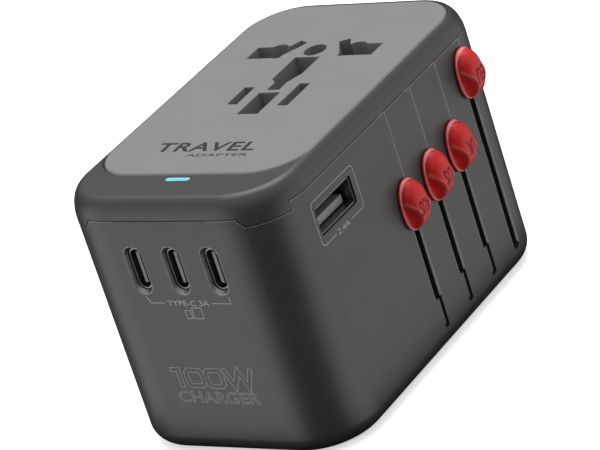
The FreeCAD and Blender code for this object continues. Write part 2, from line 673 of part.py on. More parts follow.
def side_contact(sign):
    """Line or neutral socket contact: a base strip with spring leaves."""
    strip = sorted(sign * x for x in SIDE_STRIP_X)
    base = box(*strip, *SIDE_STRIP_Y, CONTACT_Z, BLOCK_Z)
    top = BLOCK_Z + LEAF_H
    leaves = []
    for side in (-1, 1):
        y = SOCKET_UK_Y + side * (UK_HOLE[1] / 2 + UK_LEAF_GAP)
        leaves.append(block(sign * UK_PITCH_X / 2, y, (UK_LEAF_W, LEAF_T), BLOCK_Z, top))
        x = sign * US_PITCH / 2 + side * US_LEAF_X
        leaves.append(block(x, SOCKET_US_Y, (LEAF_T, LEAF_W), BLOCK_Z, top))
    return join(base, *leaves)


def earth_contact():
    """Earth contact: a strip under the middle holes with leaves for the pins."""
    base = box(-EARTH_STRIP_X, EARTH_STRIP_X, *EARTH_STRIP_Y, CONTACT_Z, BLOCK_Z)
    size = (LEAF_T, LEAF_W)
    leaves = []
    for x, y in ((EARTH_LEAF_X, SOCKET_UK_Y - UK_PITCH_Y), (GROUND_LEAF_X, GROUND_LEAF_Y)):
        leaf = block(x, y, size, BLOCK_Z, BLOCK_Z + LEAF_H)
        leaves += [leaf, mirrored(leaf)]
    return join(base, *leaves)


def bus_legs():
    """Rows between the carriages where a bus bar can hang down."""
    au_us = (AU_Y + AU_PLATE_Y[1] + US_Y + US_PLATE_Y[0]) / 2
    us_uk = (US_Y + US_PLATE_Y[1] + UK_ROW_Y + UK_PLATE_Y[0]) / 2
    return (au_us, us_uk, DECK_BACK - BUS_BACK)


def bus_bar(sign):
    """Comb that carries current from the socket contact down between the carriages."""
    rows = bus_legs()
    x = sorted(sign * edge for edge in BUS_X)
    half = BUS_T / 2
    top = box(*x, rows[0] - half, rows[-1] + half, CONTACT_Z - BUS_T, CONTACT_Z)
    legs = [box(*x, y - half, y + half, BUS_FOOT, CONTACT_Z) for y in rows]
    return join(top, *legs)


# ---------------------------------------------------------------- sliders
def neck(key, x0):
    """Web that joins a carriage to its knob through the slot."""
    half = SLOT_W / 2 - NECK_GAP
    y = SLOT_Y[key]
    return box(x0, FACE_X + KNOB_GAP + KNOB_SEAT, y - half, y + half, NECK_Z[key], NECK_TOP[key])


def rounded_top(shape, edge):
    """A shape with every edge of its upper face rounded."""
    top = shape.BoundBox.ZMax
    return shape.makeFillet(edge, [e for e in shape.Edges if e.BoundBox.ZMin > top - 0.01])


def knob(key):
    """Finger knob: a rim, a dome at the top and a raised bar that slopes to the lower end."""
    x0 = FACE_X + KNOB_GAP
    x1 = FACE_X + KNOB_OUT
    y = SLOT_Y[key]
    half_y = KNOB_W / 2
    low = KNOB_Z[key] - KNOB_H / 2
    high = KNOB_Z[key] + KNOB_H / 2
    rim = rounded_plate(y - half_y, y + half_y, low, high, KNOB_R, x0, x0 + KNOB_RIM)
    dome_y = half_y - KNOB_IN
    dome_top = high - KNOB_IN
    dome = rounded_plate(y - dome_y, y + dome_y, dome_top - KNOB_DOME, dome_top,
                         KNOB_R - KNOB_IN, x0, x1)
    bar = box(y - KNOB_BAR / 2, y + KNOB_BAR / 2, low + KNOB_IN, KNOB_Z[key] + KNOB_IN, x0, x1)
    toe = [e for e in bar.Edges if e.BoundBox.ZMin > x1 - 0.01 and e.BoundBox.YMax < low + 1]
    bar = bar.makeChamfer(KNOB_TOE, toe)
    body = join(rim, rounded_top(dome, KNOB_DOME_EDGE), rounded_top(bar, KNOB_BAR_EDGE))
    return to_side(body).cut(neck(key, IN_X))


def au_carriage():
    """AU carriage: two pads, a bridge and the arm to the knob."""
    front = AU_Y + AU_PLATE_Y[0]
    back = AU_Y + AU_PLATE_Y[1]
    pad = box(*AU_PAD_X, front, back, PLATE_Z, PLATE_TOP)
    bridge = box(-AU_PAD_X[1], AU_PAD_X[1], back - AU_BRIDGE, back, PLATE_Z, PLATE_TOP)
    arm = box(AU_PAD_X[0], IN_X - SIDE_GAP, AU_Y + AU_ARM_Y[0], AU_Y + AU_ARM_Y[1],
              PLATE_Z, PLATE_TOP)
    body = join(bridge, arm, pad, mirrored(pad), neck("au", IN_X - NECK_ROOT))
    return cut(body, *[au_blade(s, 0, PLATE_Z - 1, PLATE_TOP + 1) for s in (-1, 1)])


def us_carriage():
    """US carriage: one plate and its neck."""
    plate = box(US_PLATE_X, IN_X - SIDE_GAP, US_Y + US_PLATE_Y[0], US_Y + US_PLATE_Y[1],
                PLATE_Z, PLATE_TOP)
    body = join(plate, neck("us", IN_X - NECK_ROOT))
    return cut(body, *[us_blade(s, 0, PLATE_Z - 1, PLATE_TOP + 1) for s in (-1, 1)])


def uk_carriage():
    """UK carriage: plate under the line pins, side spine and cross arm to the earth pin."""
    y0 = UK_ROW_Y + UK_PLATE_Y[0]
    y1 = UK_ROW_Y + UK_PLATE_Y[1]
    front = UK_EARTH_Y - UK_EARTH_PIN[1] / 2 - UK_PAD_EDGE[0]
    back = UK_EARTH_Y + UK_EARTH_PIN[1] / 2 + UK_PAD_EDGE[1]
    plate = box(UK_PLATE_X, IN_X - SIDE_GAP, y0, y1, PLATE_Z, PLATE_TOP)
    spine = box(UK_PLATE_X, UK_PLATE_X + UK_SPINE, front, y1, PLATE_Z, PLATE_TOP)
    cross = box(UK_PLATE_X, UK_PAD_X, front, front + UK_CROSS, PLATE_Z, PLATE_TOP)
    pad = box(-UK_PAD_X, UK_PAD_X, front, back, PLATE_Z, PLATE_TOP)
    body = join(plate, spine, cross, pad, neck("uk", IN_X - NECK_ROOT))
    holes = [uk_pin(s, 0, PLATE_Z - 1, PLATE_TOP + 1) for s in (-1, 1)]
    return cut(body, uk_earth(0, PLATE_Z - 1, PLATE_TOP + 1), *holes)


def eu_carriage():
    """EU carriage: the round-plug boss, its stem and the arm to the knob."""
    boss = eu_boss(0, EU_BOSS_Z, EU_BOSS_Z + EU_BOSS_H)
    stem = rounded_plate(-EU_STEM[0] / 2, EU_STEM[0] / 2, EU_BOSS_Y - EU_STEM[1] / 2,
                         EU_BOSS_Y + EU_STEM[1] / 2, EU_STEM_R, EU_BOSS_Z + EU_BOSS_H - 1, EU_TOP)
    arm = box(EU_STEM[0] / 2 - EU_STEM_R, IN_X - SIDE_GAP, EU_Y + EU_ARM_Y[0], EU_Y + EU_ARM_Y[1],
              NECK_Z["eu"], EU_TOP)
    body = join(boss, stem, arm, neck("eu", IN_X - NECK_ROOT))
    holes = [rod(EU_SHANK_R, s * EU_PITCH / 2, EU_BOSS_Y, 0, EU_TOP + 1) for s in (-1, 1)]
    return cut(body, *holes)


def pointed(pin, edge):
    """A pin with the edges of its lower end chamfered."""
    low = pin.BoundBox.ZMin
    return pin.makeChamfer(edge, [e for e in pin.Edges if e.BoundBox.ZMax < low + 0.01])


def uk_line_pin(sign):
    """UK line or neutral pin, necked where its sleeve sits."""
    pin = pointed(uk_pin(sign, 0, TRAVEL["uk"] - UK_PIN_OUT, PLATE_TOP), UK_PIN_EDGE)
    return pin.cut(uk_sleeve(sign))


def uk_sleeve(sign):
    z0 = TRAVEL["uk"] - UK_SLEEVE_L
    ring = uk_pin(sign, 0, z0, PLATE_Z)
    return ring.cut(uk_pin(sign, -SLEEVE_T, z0 - 1, PLATE_Z + 1))


def uk_earth_pin():
    return pointed(uk_earth(0, TRAVEL["uk"] - UK_EARTH_OUT, PLATE_TOP), UK_EARTH_EDGE)


def us_line_blade(sign):
    return pointed(us_blade(sign, 0, TRAVEL["us"] - US_BLADE_OUT, PLATE_TOP), BLADE_EDGE)


def au_line_blade(sign):
    return pointed(au_blade(sign, 0, TRAVEL["au"] - AU_BLADE_OUT, PLATE_TOP), BLADE_EDGE)


def eu_sleeve(sign):
    x = sign * EU_PITCH / 2
    ring = rod(EU_SHANK_R, x, EU_BOSS_Y, EU_BOSS_Z - EU_SLEEVE_L, EU_BOSS_Z)
    return ring.cut(rod(EU_SHANK_R - SLEEVE_T, x, EU_BOSS_Y, 0, EU_TOP))


def eu_line_pin(sign):
    """EU pin: round nose, bare end, necked under its sleeve, shank in the boss."""
    x = sign * EU_PITCH / 2
    bare = rod(EU_PIN_R, x, EU_BOSS_Y, EU_TIP, EU_BOSS_Z - EU_SLEEVE_L)
    tip = [e for e in bare.Edges if e.BoundBox.ZMax < EU_TIP + 0.01]
    bare = bare.makeFillet(EU_NOSE_R, tip)
    core = rod(EU_SHANK_R - SLEEVE_T, x, EU_BOSS_Y, EU_BOSS_Z - EU_SLEEVE_L - 1, EU_TOP)
    return join(bare, core, rod(EU_SHANK_R, x, EU_BOSS_Y, EU_BOSS_Z, EU_TOP))


def wipers(name, pin_y, leg_y, z):
    """Pair of spring strips from the pin heads towards the bus bar legs."""
    reach = sorted((pin_y, leg_y))
    strip = box(*WIPER_X[name], *reach, z, z + WIPER_T)
    return Part.makeCompound([strip, mirrored(strip)])


def plug_wipers():
    """One pair of wipers for each carriage."""
    au_leg, uk_leg, eu_leg = bus_legs()
    clear = BUS_T / 2 + PLATE_GAP
    return {"au_wipers": wipers("au", AU_Y + AU_WIPER_Y, au_leg - clear, PLATE_TOP),
            "us_wipers": wipers("us", US_Y, uk_leg - clear, PLATE_TOP),
            "uk_wipers": wipers("uk", UK_ROW_Y, uk_leg + clear, PLATE_TOP),
            "eu_wipers": wipers("eu", EU_BOSS_Y, eu_leg + clear, EU_TOP)}


def eu_well():
    """Sleeve on the plug face that guides the EU boss."""
    outer = eu_boss(WELL_GAP + WELL_T, FLOOR, WELL_TOP)
    return outer.cut(eu_boss(WELL_GAP, 0, WELL_TOP + 1))


# ---------------------------------------------------------------- ports and charger
def usbc_shell(x):
    back = -USBC_BACK
    outer = pill(x, USBC_Z, USBC_SHELL, back, back + USBC_LENGTH)
    size = (USBC_SHELL[0] - 2 * USBC_WALL, USBC_SHELL[1] - 2 * USBC_WALL)
    return to_end(outer.cut(pill(x, USBC_Z, size, back + USBC_FLOOR, back + USBC_LENGTH + 1)))


def usbc_tongue(x):
    root = -USBC_BACK + USBC_FLOOR
    return to_end(block(x, USBC_Z, USBC_TONGUE, root, CASE_D / 2 - USBC_TONGUE_IN))


def usba_shell():
    x1 = FACE_X - USBA_SET_BACK
    x0 = x1 - USBA_LENGTH
    w = USBA_SHELL[0] / 2
    h = USBA_SHELL[1] / 2
    t = USBA_WALL
    outer = rounded_plate(USBA_Y - w, USBA_Y + w, USBA_Z - h, USBA_Z + h, USBA_R, x0, x1)
    inner = rounded_plate(USBA_Y - w + t, USBA_Y + w - t, USBA_Z - h + t, USBA_Z + h - t,
                          USBA_R - t, x0 + t, x1 + 1)
    return to_side(outer.cut(inner))


def usba_tongue():
    x0 = FACE_X - USBA_SET_BACK - USBA_LENGTH + USBA_WALL
    z0 = USBA_Z - USBA_SHELL[1] / 2 + USBA_WALL + USBA_TONGUE_UP
    y = USBA_TONGUE[0] / 2
    base_y = USBA_SHELL[0] / 2 - USBA_WALL - USBA_BASE_FIT
    base_z = USBA_SHELL[1] / 2 - USBA_WALL - USBA_BASE_FIT
    base = box(x0, x0 + USBA_BASE, USBA_Y - base_y, USBA_Y + base_y,
               USBA_Z - base_z, USBA_Z + base_z)
    blade = box(x0, FACE_X - USBA_TONGUE_IN, USBA_Y - y, USBA_Y + y, z0, z0 + USBA_TONGUE[1])
    return join(base, blade)


def main_board():
    x = IN_X - BOARD_SIDE
    return rounded_plate(-x, x, -IN_Y + BOARD_FRONT, BOARD_BACK, BOARD_R, BOARD_Z, BOARD_TOP)


def port_board():
    return box(-PORT_BOARD_X, PORT_BOARD_X, USBC_BACK, USBC_BACK + BOARD_T,
               BOARD_TOP, PORT_BOARD_TOP)


def side_board():
    z1 = USBA_Z - USBA_SHELL[1] / 2
    x1 = IN_X - BOARD_GAP
    return box(x1 - SIDE_BOARD_X, x1, USBA_Y + SIDE_BOARD_Y[0], USBA_Y + SIDE_BOARD_Y[1],
               z1 - BOARD_T, z1)


def barrier():
    x = IN_X - BOARD_GAP
    return box(-x, x, BARRIER_Y - BARRIER_T, BARRIER_Y, FLOOR, BLOCK_TOP)


def transformer_core():
    """Closed ferrite core: a ring round the winding with a centre leg."""
    x, y = CORE_AT
    top = BOARD_TOP + CORE[2]
    side = CORE[0] / 2 - CORE_LIMB[0]
    window = box(x - side, x + side, y - CORE[1], y + CORE[1],
                 BOARD_TOP + CORE_LIMB[1], top - CORE_LIMB[1])
    body = block(x, y, CORE[:2], BOARD_TOP, top).cut(window)
    return join(body, rod(CORE_LEG_R, x, y, BOARD_TOP + 1, top - 1))


def transformer_winding():
    x, y = CORE_AT
    z0 = BOARD_TOP + CORE_LIMB[1]
    z1 = BOARD_TOP + CORE[2] - CORE_LIMB[1]
    outer = rod(CORE[0] / 2 - CORE_LIMB[0] - WINDING_FIT, x, y, z0, z1)
    return outer.cut(rod(CORE_LEG_R, x, y, z0 - 1, z1 + 1))


def standing_caps(radius, height, places):
    """Group of equal capacitors standing on the main board."""
    return Part.makeCompound([rod(radius, x, y, BOARD_TOP, BOARD_TOP + height) for x, y in places])


def choke():
    """Ring choke standing on edge."""
    ring, wire = CHOKE
    centre = V(CHOKE_X, BOARD_BACK - CHOKE_IN, BOARD_TOP + ring + wire)
    return Part.makeTorus(ring, wire, centre, V(0, 1, 0))


def heat_spreader():
    """Aluminium plate beside the -X wall, folded out at its foot."""
    x0 = -IN_X + PLATE_IN
    y0 = CORE_AT[1] + PLATE_Y[0]
    y1 = BOARD_BACK - PLATE_Y[1]
    plate = box(x0, x0 + PLATE_SHEET, y0, y1, BOARD_TOP, BOARD_TOP + PLATE_H)
    foot = box(x0, x0 + PLATE_FOOT, y0, y1, BOARD_TOP, BOARD_TOP + PLATE_SHEET)
    return join(plate, foot)


def switches():
    """Pair of switching transistors flat against the heat spreader."""
    x0 = -IN_X + PLATE_IN + PLATE_SHEET
    z0 = BOARD_TOP + SWITCH_UP
    thick, wide, tall = SWITCH
    fronts = [CORE_AT[1] + y for y in SWITCH_Y]
    return Part.makeCompound([box(x0, x0 + thick, y, y + wide, z0, z0 + tall) for y in fronts])


def fuse():
    """Glass fuse lying across the case."""
    y, z = FUSE_AT
    return Part.makeCylinder(FUSE[0], FUSE[1], V(-FUSE[1] / 2, y, z), V(1, 0, 0))


def fuse_clips():
    """Pair of clips that hold the fuse to the barrier."""
    y, z = FUSE_AT
    wide, over, front = FUSE_CLIP
    grip = FUSE[0] + over
    x = FUSE[1] / 2 - FUSE_CLIP_IN
    clip = box(x - wide, x, y - front, BARRIER_Y - BARRIER_T, z - grip, z + grip).cut(fuse())
    return Part.makeCompound([clip, mirrored(clip)])


def light_pipe():
    return pill(0, LIGHT_Y, LIGHT, PORT_BOARD_TOP + LED[2] + LED_GAP, CASE_H)


def status_led():
    y = USBC_BACK + BOARD_T / 2
    return block(0, y, LED[:2], PORT_BOARD_TOP, PORT_BOARD_TOP + LED[2])


def case_screws():
    """Four screws under the socket panel."""
    screws = []
    for x, y in BOSS_AT:
        head = rod(SCREW_HEAD[0], x, y, PANEL_Z - SCREW_HEAD[1], PANEL_Z - SCREW_FIT)
        shank = rod(SCREW_R, x, y, BOSS_TOP - SCREW_L + SCREW_END, PANEL_Z - SCREW_HEAD[1] + SCREW_FIT)
        screws.append(join(head, shank))
    return Part.makeCompound(screws)


def build():
    """Every node by name."""
    out_cap_y = USBC_BACK - OUT_CAP_IN
    nodes = {"main_housing": main_housing(), "top_cover": top_cover(),
             "socket_panel": socket_panel(),
             "contact_block": contact_block(), "shutter": shutter(), "shutter_spring": shutter_spring(),
             "live_contact": side_contact(-1), "neutral_contact": side_contact(1),
             "earth_contact": earth_contact(), "live_bus": bus_bar(-1), "neutral_bus": bus_bar(1),
             "au_carriage": au_carriage(), "us_carriage": us_carriage(),
             "uk_carriage": uk_carriage(), "eu_carriage": eu_carriage(),
             "uk_earth_pin": uk_earth_pin(),
             "uk_pin_sleeves": Part.makeCompound([uk_sleeve(-1), uk_sleeve(1)]),
             "eu_pin_sleeves": Part.makeCompound([eu_sleeve(-1), eu_sleeve(1)]),
             "eu_well": eu_well(), "barrier": barrier(),
             "usba_shell": usba_shell(), "usba_tongue": usba_tongue(),
             "main_board": main_board(), "port_board": port_board(), "side_board": side_board(),
             "transformer_core": transformer_core(), "transformer_winding": transformer_winding(),
             "mains_capacitors": standing_caps(*BULK_CAP, BULK_CAPS_AT),
             "output_capacitors": standing_caps(*OUT_CAP, [(x, out_cap_y) for x in usbc_xs()]),
             "choke": choke(), "heat_spreader": heat_spreader(), "switches": switches(),
             "fuse": fuse(), "fuse_clips": fuse_clips(), "light_pipe": light_pipe(),
             "status_led": status_led(), "case_screws": case_screws()}
    for name, sign in (("live", -1), ("neutral", 1)):
        nodes["uk_" + name + "_pin"] = uk_line_pin(sign)
        nodes["us_" + name + "_blade"] = us_line_blade(sign)
        nodes["au_" + name + "_blade"] = au_line_blade(sign)
        nodes["eu_" + name + "_pin"] = eu_line_pin(sign)
    for name, x in zip(("left", "middle", "right"), usbc_xs()):
        nodes["usbc_shell_" + name] = usbc_shell(x)
        nodes["usbc_tongue_" + name] = usbc_tongue(x)
    for key in SLOT_Y:
        nodes[key + "_knob"] = knob(key)
    nodes.update(plug_wipers())
    return nodes


os.makedirs("parts", exist_ok=True)
for node, shape in build().items():
    shape.exportStep("parts/" + node + ".step")
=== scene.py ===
# %% [markdown]
# # A travel adapter, dressed in Blender
# The solid model of the adapter comes first: every plastic, metal and board piece is already there,
# at its real size, and rides on the body that moves it. This script gives each of them its finish,
# builds the pieces that need a finer shape than the solid model has, and sets the studio.

# %% Load the frame
import bmesh
import bpy
import json
import math
import numpy as np
from mathutils import Matrix, Vector


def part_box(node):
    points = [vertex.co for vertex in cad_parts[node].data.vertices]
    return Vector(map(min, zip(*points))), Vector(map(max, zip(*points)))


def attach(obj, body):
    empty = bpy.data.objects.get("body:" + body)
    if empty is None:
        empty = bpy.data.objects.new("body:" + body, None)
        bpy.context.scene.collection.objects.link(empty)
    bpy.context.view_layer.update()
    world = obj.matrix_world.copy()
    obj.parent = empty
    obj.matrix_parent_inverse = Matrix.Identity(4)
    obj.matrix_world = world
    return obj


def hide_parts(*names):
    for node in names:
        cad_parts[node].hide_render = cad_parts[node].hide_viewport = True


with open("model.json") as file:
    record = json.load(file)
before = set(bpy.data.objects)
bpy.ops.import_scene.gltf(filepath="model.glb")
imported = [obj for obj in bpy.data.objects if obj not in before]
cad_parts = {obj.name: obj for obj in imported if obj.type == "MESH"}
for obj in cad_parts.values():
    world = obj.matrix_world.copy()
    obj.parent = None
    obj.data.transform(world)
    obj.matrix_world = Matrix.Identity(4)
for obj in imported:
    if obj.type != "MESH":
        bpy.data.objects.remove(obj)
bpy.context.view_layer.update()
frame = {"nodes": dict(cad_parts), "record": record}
NODES = frame["nodes"]

# %% [markdown]
# ## Measures taken from the solid model
# Blender works in metres, and people talk about such an object in millimetres, so one factor turns
# one into the other. The faces that carry print are read from the boxes of the nodes, so the print
# follows the model if the model changes.

# %% Units and faces
MM = 0.001
CASE_LOW, CASE_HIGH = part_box("main_housing")
SIDE_X = CASE_HIGH.x
END_Y = CASE_LOW.y
TOP_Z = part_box("top_cover")[1].z
CORNER_R = 13.0 * MM
print("side", round(SIDE_X / MM, 2), "end", round(END_Y / MM, 2), "top", round(TOP_Z / MM, 2))


# %% [markdown]
# ## From arrays to a piece
# Every new piece is a grid of points worked out with numpy. Two helpers do the rest: one turns a
# grid into faces, and one puts the points and faces into a mesh, hangs it on the body that moves
# it, and names the finish it belongs to.

# %% Helpers for pieces
def grid_faces(rows, columns, wrap=False):
    """Quads of a grid of rows x columns points. With wrap the last column joins the first."""
    r, c = np.meshgrid(np.arange(rows - 1), np.arange(columns - (0 if wrap else 1)), indexing="ij")
    n = (c + 1) % columns
    quads = [r * columns + c, r * columns + n, (r + 1) * columns + n, (r + 1) * columns + c]
    return np.stack([q.ravel() for q in quads], axis=1)


def add_piece(name, points, faces, body, material, smooth=True):
    """Mesh object from points in metres, riding on a body."""
    mesh = bpy.data.meshes.new(name)
    mesh.from_pydata(np.asarray(points).tolist(), [], [list(map(int, f)) for f in faces])
    mesh.validate()
    mesh.update()
    mesh.polygons.foreach_set("use_smooth", np.full(len(mesh.polygons), smooth))
    piece = bpy.data.objects.new(name, mesh)
    bpy.context.scene.collection.objects.link(piece)
    mesh.materials.append(material)
    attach(piece, body)
    return piece


def close_poles(piece):
    """Merges the points that lie on each other where the rings of a surface shrink to a pole."""
    same_place = 0.0001 * MM
    merged = bmesh.new()
    merged.from_mesh(piece.data)
    bmesh.ops.remove_doubles(merged, verts=merged.verts, dist=same_place)
    merged.to_mesh(piece.data)
    merged.free()


# %% [markdown]
# ## Building blocks for finishes
# A finish is a Principled shader with a little disorder in it: noise read from the piece's own
# coordinates, in real millimetres, that varies the colour, the roughness and the surface height.
# These helpers keep each finish down to a few lines.

# %% Helpers for finishes
def new_finish(name, colour, roughness, metallic=0.0):
    """Material, its node tree, its shader and the piece's own coordinates."""
    material = bpy.data.materials.new(name)
    material.use_nodes = True
    tree = material.node_tree
    shader = tree.nodes["Principled BSDF"]
    shader.inputs["Base Color"].default_value = (*colour, 1)
    shader.inputs["Roughness"].default_value = roughness
    shader.inputs["Metallic"].default_value = metallic
    place = tree.nodes.new("ShaderNodeTexCoord").outputs["Object"]
    return material, tree, shader, place


def noise(tree, place, size, detail=3.0, stretch=(1, 1, 1)):
    """Noise whose lumps are about size across, in millimetres, squeezed along an axis by stretch."""
    mapping = tree.nodes.new("ShaderNodeMapping")
    mapping.inputs["Scale"].default_value = stretch
    tree.links.new(place, mapping.inputs["Vector"])
    texture = tree.nodes.new("ShaderNodeTexNoise")
    texture.inputs["Scale"].default_value = 1 / (size * MM)
    texture.inputs["Detail"].default_value = detail
    tree.links.new(mapping.outputs["Vector"], texture.inputs["Vector"])
    return texture.outputs["Fac"]


def spread(tree, value, low, high, first=0.3, last=0.7):
    """Stretches the middle of a noise to the range low to high."""
    node = tree.nodes.new("ShaderNodeMapRange")
    node.inputs["From Min"].default_value = first
    node.inputs["From Max"].default_value = last
    node.inputs["To Min"].default_value = low
    node.inputs["To Max"].default_value = high
    tree.links.new(value, node.inputs["Value"])
    return node.outputs["Result"]


def tint(tree, value, dark, light):
    """Colour between dark and light by a value."""
    node = tree.nodes.new("ShaderNodeValToRGB")
    node.color_ramp.elements[0].position = 0.3
    node.color_ramp.elements[1].position = 0.7
    node.color_ramp.elements[0].color = (*dark, 1)
    node.color_ramp.elements[1].color = (*light, 1)
    tree.links.new(value, node.inputs["Fac"])
    return node.outputs["Color"]


def raise_by(tree, shader, value, depth):
    """Bump of a given depth in millimetres."""
    node = tree.nodes.new("ShaderNodeBump")
    node.inputs["Distance"].default_value = depth * MM
    tree.links.new(value, node.inputs["Height"])
    tree.links.new(node.outputs["Normal"], shader.inputs["Normal"])
    return node


def shade(colour, factor):
    """The same colour, that much lighter or darker."""
    return tuple(min(c * factor, 1.0) for c in colour)


# %% [markdown]
# ## Moulded plastics
# The case is a dark polycarbonate with a fine spark-eroded grain: seen from a hand's distance it is
# satin, and only the edges catch the light. Grain, a faint cloudiness in the gloss and a touch of
# colour drift are three noises at three scales. The same recipe with other numbers gives the panel,
# the carriages, the insulators and the red sliders.

# %% Plastic
def plastic(name, colour, roughness, grain=0.18, depth=0.012, drift=0.03, cloud=0.02, specular=0.5):
    """Moulded plastic: fine grain in the height, soft clouds in gloss and colour."""
    material, tree, shader, place = new_finish(name, colour, roughness)
    shader.inputs["Specular IOR Level"].default_value = specular
    clouds = noise(tree, place, 9.0, 2.0)
    fine = noise(tree, place, grain, 2.0)
    tree.links.new(tint(tree, clouds, shade(colour, 1 - drift), shade(colour, 1 + drift)),
                   shader.inputs["Base Color"])
    tree.links.new(spread(tree, noise(tree, place, 2.5, 3.0), roughness - cloud, roughness + cloud),
                   shader.inputs["Roughness"])
    raise_by(tree, shader, fine, depth)
    return material


FINISH = {
    "case_black": plastic("case_black", (0.034, 0.0342, 0.0350), 0.37),
    "cover_black": plastic("cover_black", (0.034, 0.0342, 0.0350), 0.36),
    "panel_grey": plastic("panel_grey", (0.190, 0.190, 0.191), 0.46, grain=0.22),
    "carriage_black": plastic("carriage_black", (0.012, 0.012, 0.0125), 0.5),
    "insulator_grey": plastic("insulator_grey", (0.030, 0.030, 0.030), 0.55),
    "shutter_black": plastic("shutter_black", (0.010, 0.010, 0.010), 0.5),
    "port_tongue": plastic("port_tongue", (0.26, 0.26, 0.26), 0.5),
    "chip_black": plastic("chip_black", (0.015, 0.015, 0.016), 0.6, grain=0.1),
    "ferrite": plastic("ferrite", (0.035, 0.035, 0.038), 0.65, grain=0.12, depth=0.02),
}
# Pale grey for hairlines on sharp edges: a painted highlight.
HAIRLINE_HIGHLIGHT_PAINT = plastic("hairline_highlight_paint", (0.19, 0.19, 0.192), 0.30, depth=0.004)
INK = plastic("print_grey", (0.34, 0.34, 0.345), 0.45, depth=0.004)
# Finer print grey, also used for the pale strips on the slots' sloped edges: there it is a painted
# highlight.
FINE_INK_AND_SLOT_HIGHLIGHT = plastic("print_fine_and_slot_highlight", (0.30, 0.30, 0.303), 0.45, depth=0.004)
MARK = plastic("mark_black", (0.006, 0.006, 0.0065), 0.35, depth=0.003)
# Dark red of the region codes on the knobs: painted shade of engraved letters.
LETTER_SHADE_RED = plastic("letter_shade_red", (0.16, 0.004, 0.005), 0.6, depth=0.004, specular=0.2)


# %% [markdown]
# ## Red plastic, with a painted highlight on its edges
# The red is painted pale pink where the light catches the sharpest places: the rim and the crest of
# the raised bar. This is a painted highlight. The knob's surface formula knows where those are, so it
# leaves a number for the painted highlight on every point, and the finish mixes towards pale pink by it.

# %% Slider red
def slider_red():
    """Red plastic: base red, mixed towards pale pink, a painted highlight, by an attribute of the surface.
    """
    red, pale = (0.54, 0.016, 0.017), (0.80, 0.27, 0.26)
    material, tree, shader, place = new_finish("knob_red", red, 0.4)
    shader.inputs["Specular IOR Level"].default_value = 0.28
    drift = tint(tree, noise(tree, place, 2.0, 2.0), shade(red, 0.94), shade(red, 1.05))
    # Pale pink painted highlight on the rim and along the crest, read from a point attribute.
    rim_crest_highlight = tree.nodes.new("ShaderNodeAttribute")
    rim_crest_highlight.attribute_name = "rim_crest_highlight"
    mix = tree.nodes.new("ShaderNodeMix")
    mix.data_type = "RGBA"
    tree.links.new(rim_crest_highlight.outputs["Fac"], mix.inputs["Factor"])
    tree.links.new(drift, mix.inputs["A"])
    mix.inputs["B"].default_value = (*pale, 1)
    tree.links.new(mix.outputs["Result"], shader.inputs["Base Color"])
    tree.links.new(spread(tree, noise(tree, place, 1.2), 0.36, 0.43), shader.inputs["Roughness"])
    raise_by(tree, shader, noise(tree, place, 0.25, 2.0), 0.006)
    return material


FINISH["knob_red"] = slider_red()


# %% [markdown]
# ## Metals
# Pins are nickel plated and tumbled, contacts are stamped brass, shells are rolled steel. Rolled and
# stamped metal shows drawn lines, so its noise is squeezed hard along one axis. The lines go into
# the roughness and, very shallow, into the height.

# %% Metal
def metal(name, colour, roughness, stretch=(1, 1, 1), line=0.25, depth=0.004):
    """Metal with drawn lines along the axes that stretch leaves long."""
    material, tree, shader, place = new_finish(name, colour, roughness, metallic=1.0)
    lines = noise(tree, place, line, 4.0, stretch)
    stains = noise(tree, place, 4.0, 2.0)
    tree.links.new(tint(tree, stains, shade(colour, 0.88), colour), shader.inputs["Base Color"])
    tree.links.new(spread(tree, lines, roughness * 0.7, roughness * 1.35), shader.inputs["Roughness"])
    raise_by(tree, shader, lines, depth)
    return material


FINISH.update({
    "pin_nickel": metal("pin_nickel", (0.78, 0.76, 0.70), 0.22, (1, 1, 0.08)),
    "contact_brass": metal("contact_brass", (0.78, 0.56, 0.25), 0.3, (1, 0.1, 1)),
    "spring_steel": metal("spring_steel", (0.62, 0.62, 0.63), 0.25, line=0.1),
    "port_steel": metal("port_steel", (0.20, 0.20, 0.21), 0.38, (0.15, 0.15, 1)),
    "aluminium": metal("aluminium", (0.80, 0.81, 0.83), 0.4, (1, 0.08, 1)),
    "screw_steel": metal("screw_steel", (0.55, 0.56, 0.60), 0.35, line=0.15),
    "copper_wire": metal("copper_wire", (0.75, 0.33, 0.14), 0.28, (1, 1, 0.1), line=0.4),
})
LIP_STEEL = metal("lip_steel", (0.30, 0.30, 0.31), 0.42, (0.15, 0.15, 1), line=0.15)


# %% [markdown]
# ## Boards, tape, glass and light
# These are inside the case, so they show only through the slots or when the pieces are looked at one
# by one. Each still gets what makes it recognisable: solder mask with copper under it, wound tape,
# shrink sleeve, clear glass. The status light is a frosted pipe with the light of a diode in it.

# %% Other finishes
def solder_mask():
    """Green mask: copper areas under it make it lighter in patches with straight edges."""
    material, tree, shader, place = new_finish("board_green", (0.015, 0.10, 0.045), 0.3)
    cells = tree.nodes.new("ShaderNodeTexVoronoi")
    cells.distance = "CHEBYCHEV"
    cells.inputs["Scale"].default_value = 1 / (2.4 * MM)
    tree.links.new(place, cells.inputs["Vector"])
    value = cells.outputs["Distance"]
    over_copper, over_glass = (0.030, 0.17, 0.075), (0.010, 0.075, 0.035)
    tree.links.new(tint(tree, value, over_copper, over_glass), shader.inputs["Base Color"])
    tree.links.new(spread(tree, noise(tree, place, 1.2), 0.22, 0.4), shader.inputs["Roughness"])
    raise_by(tree, shader, value, 0.03)
    return material


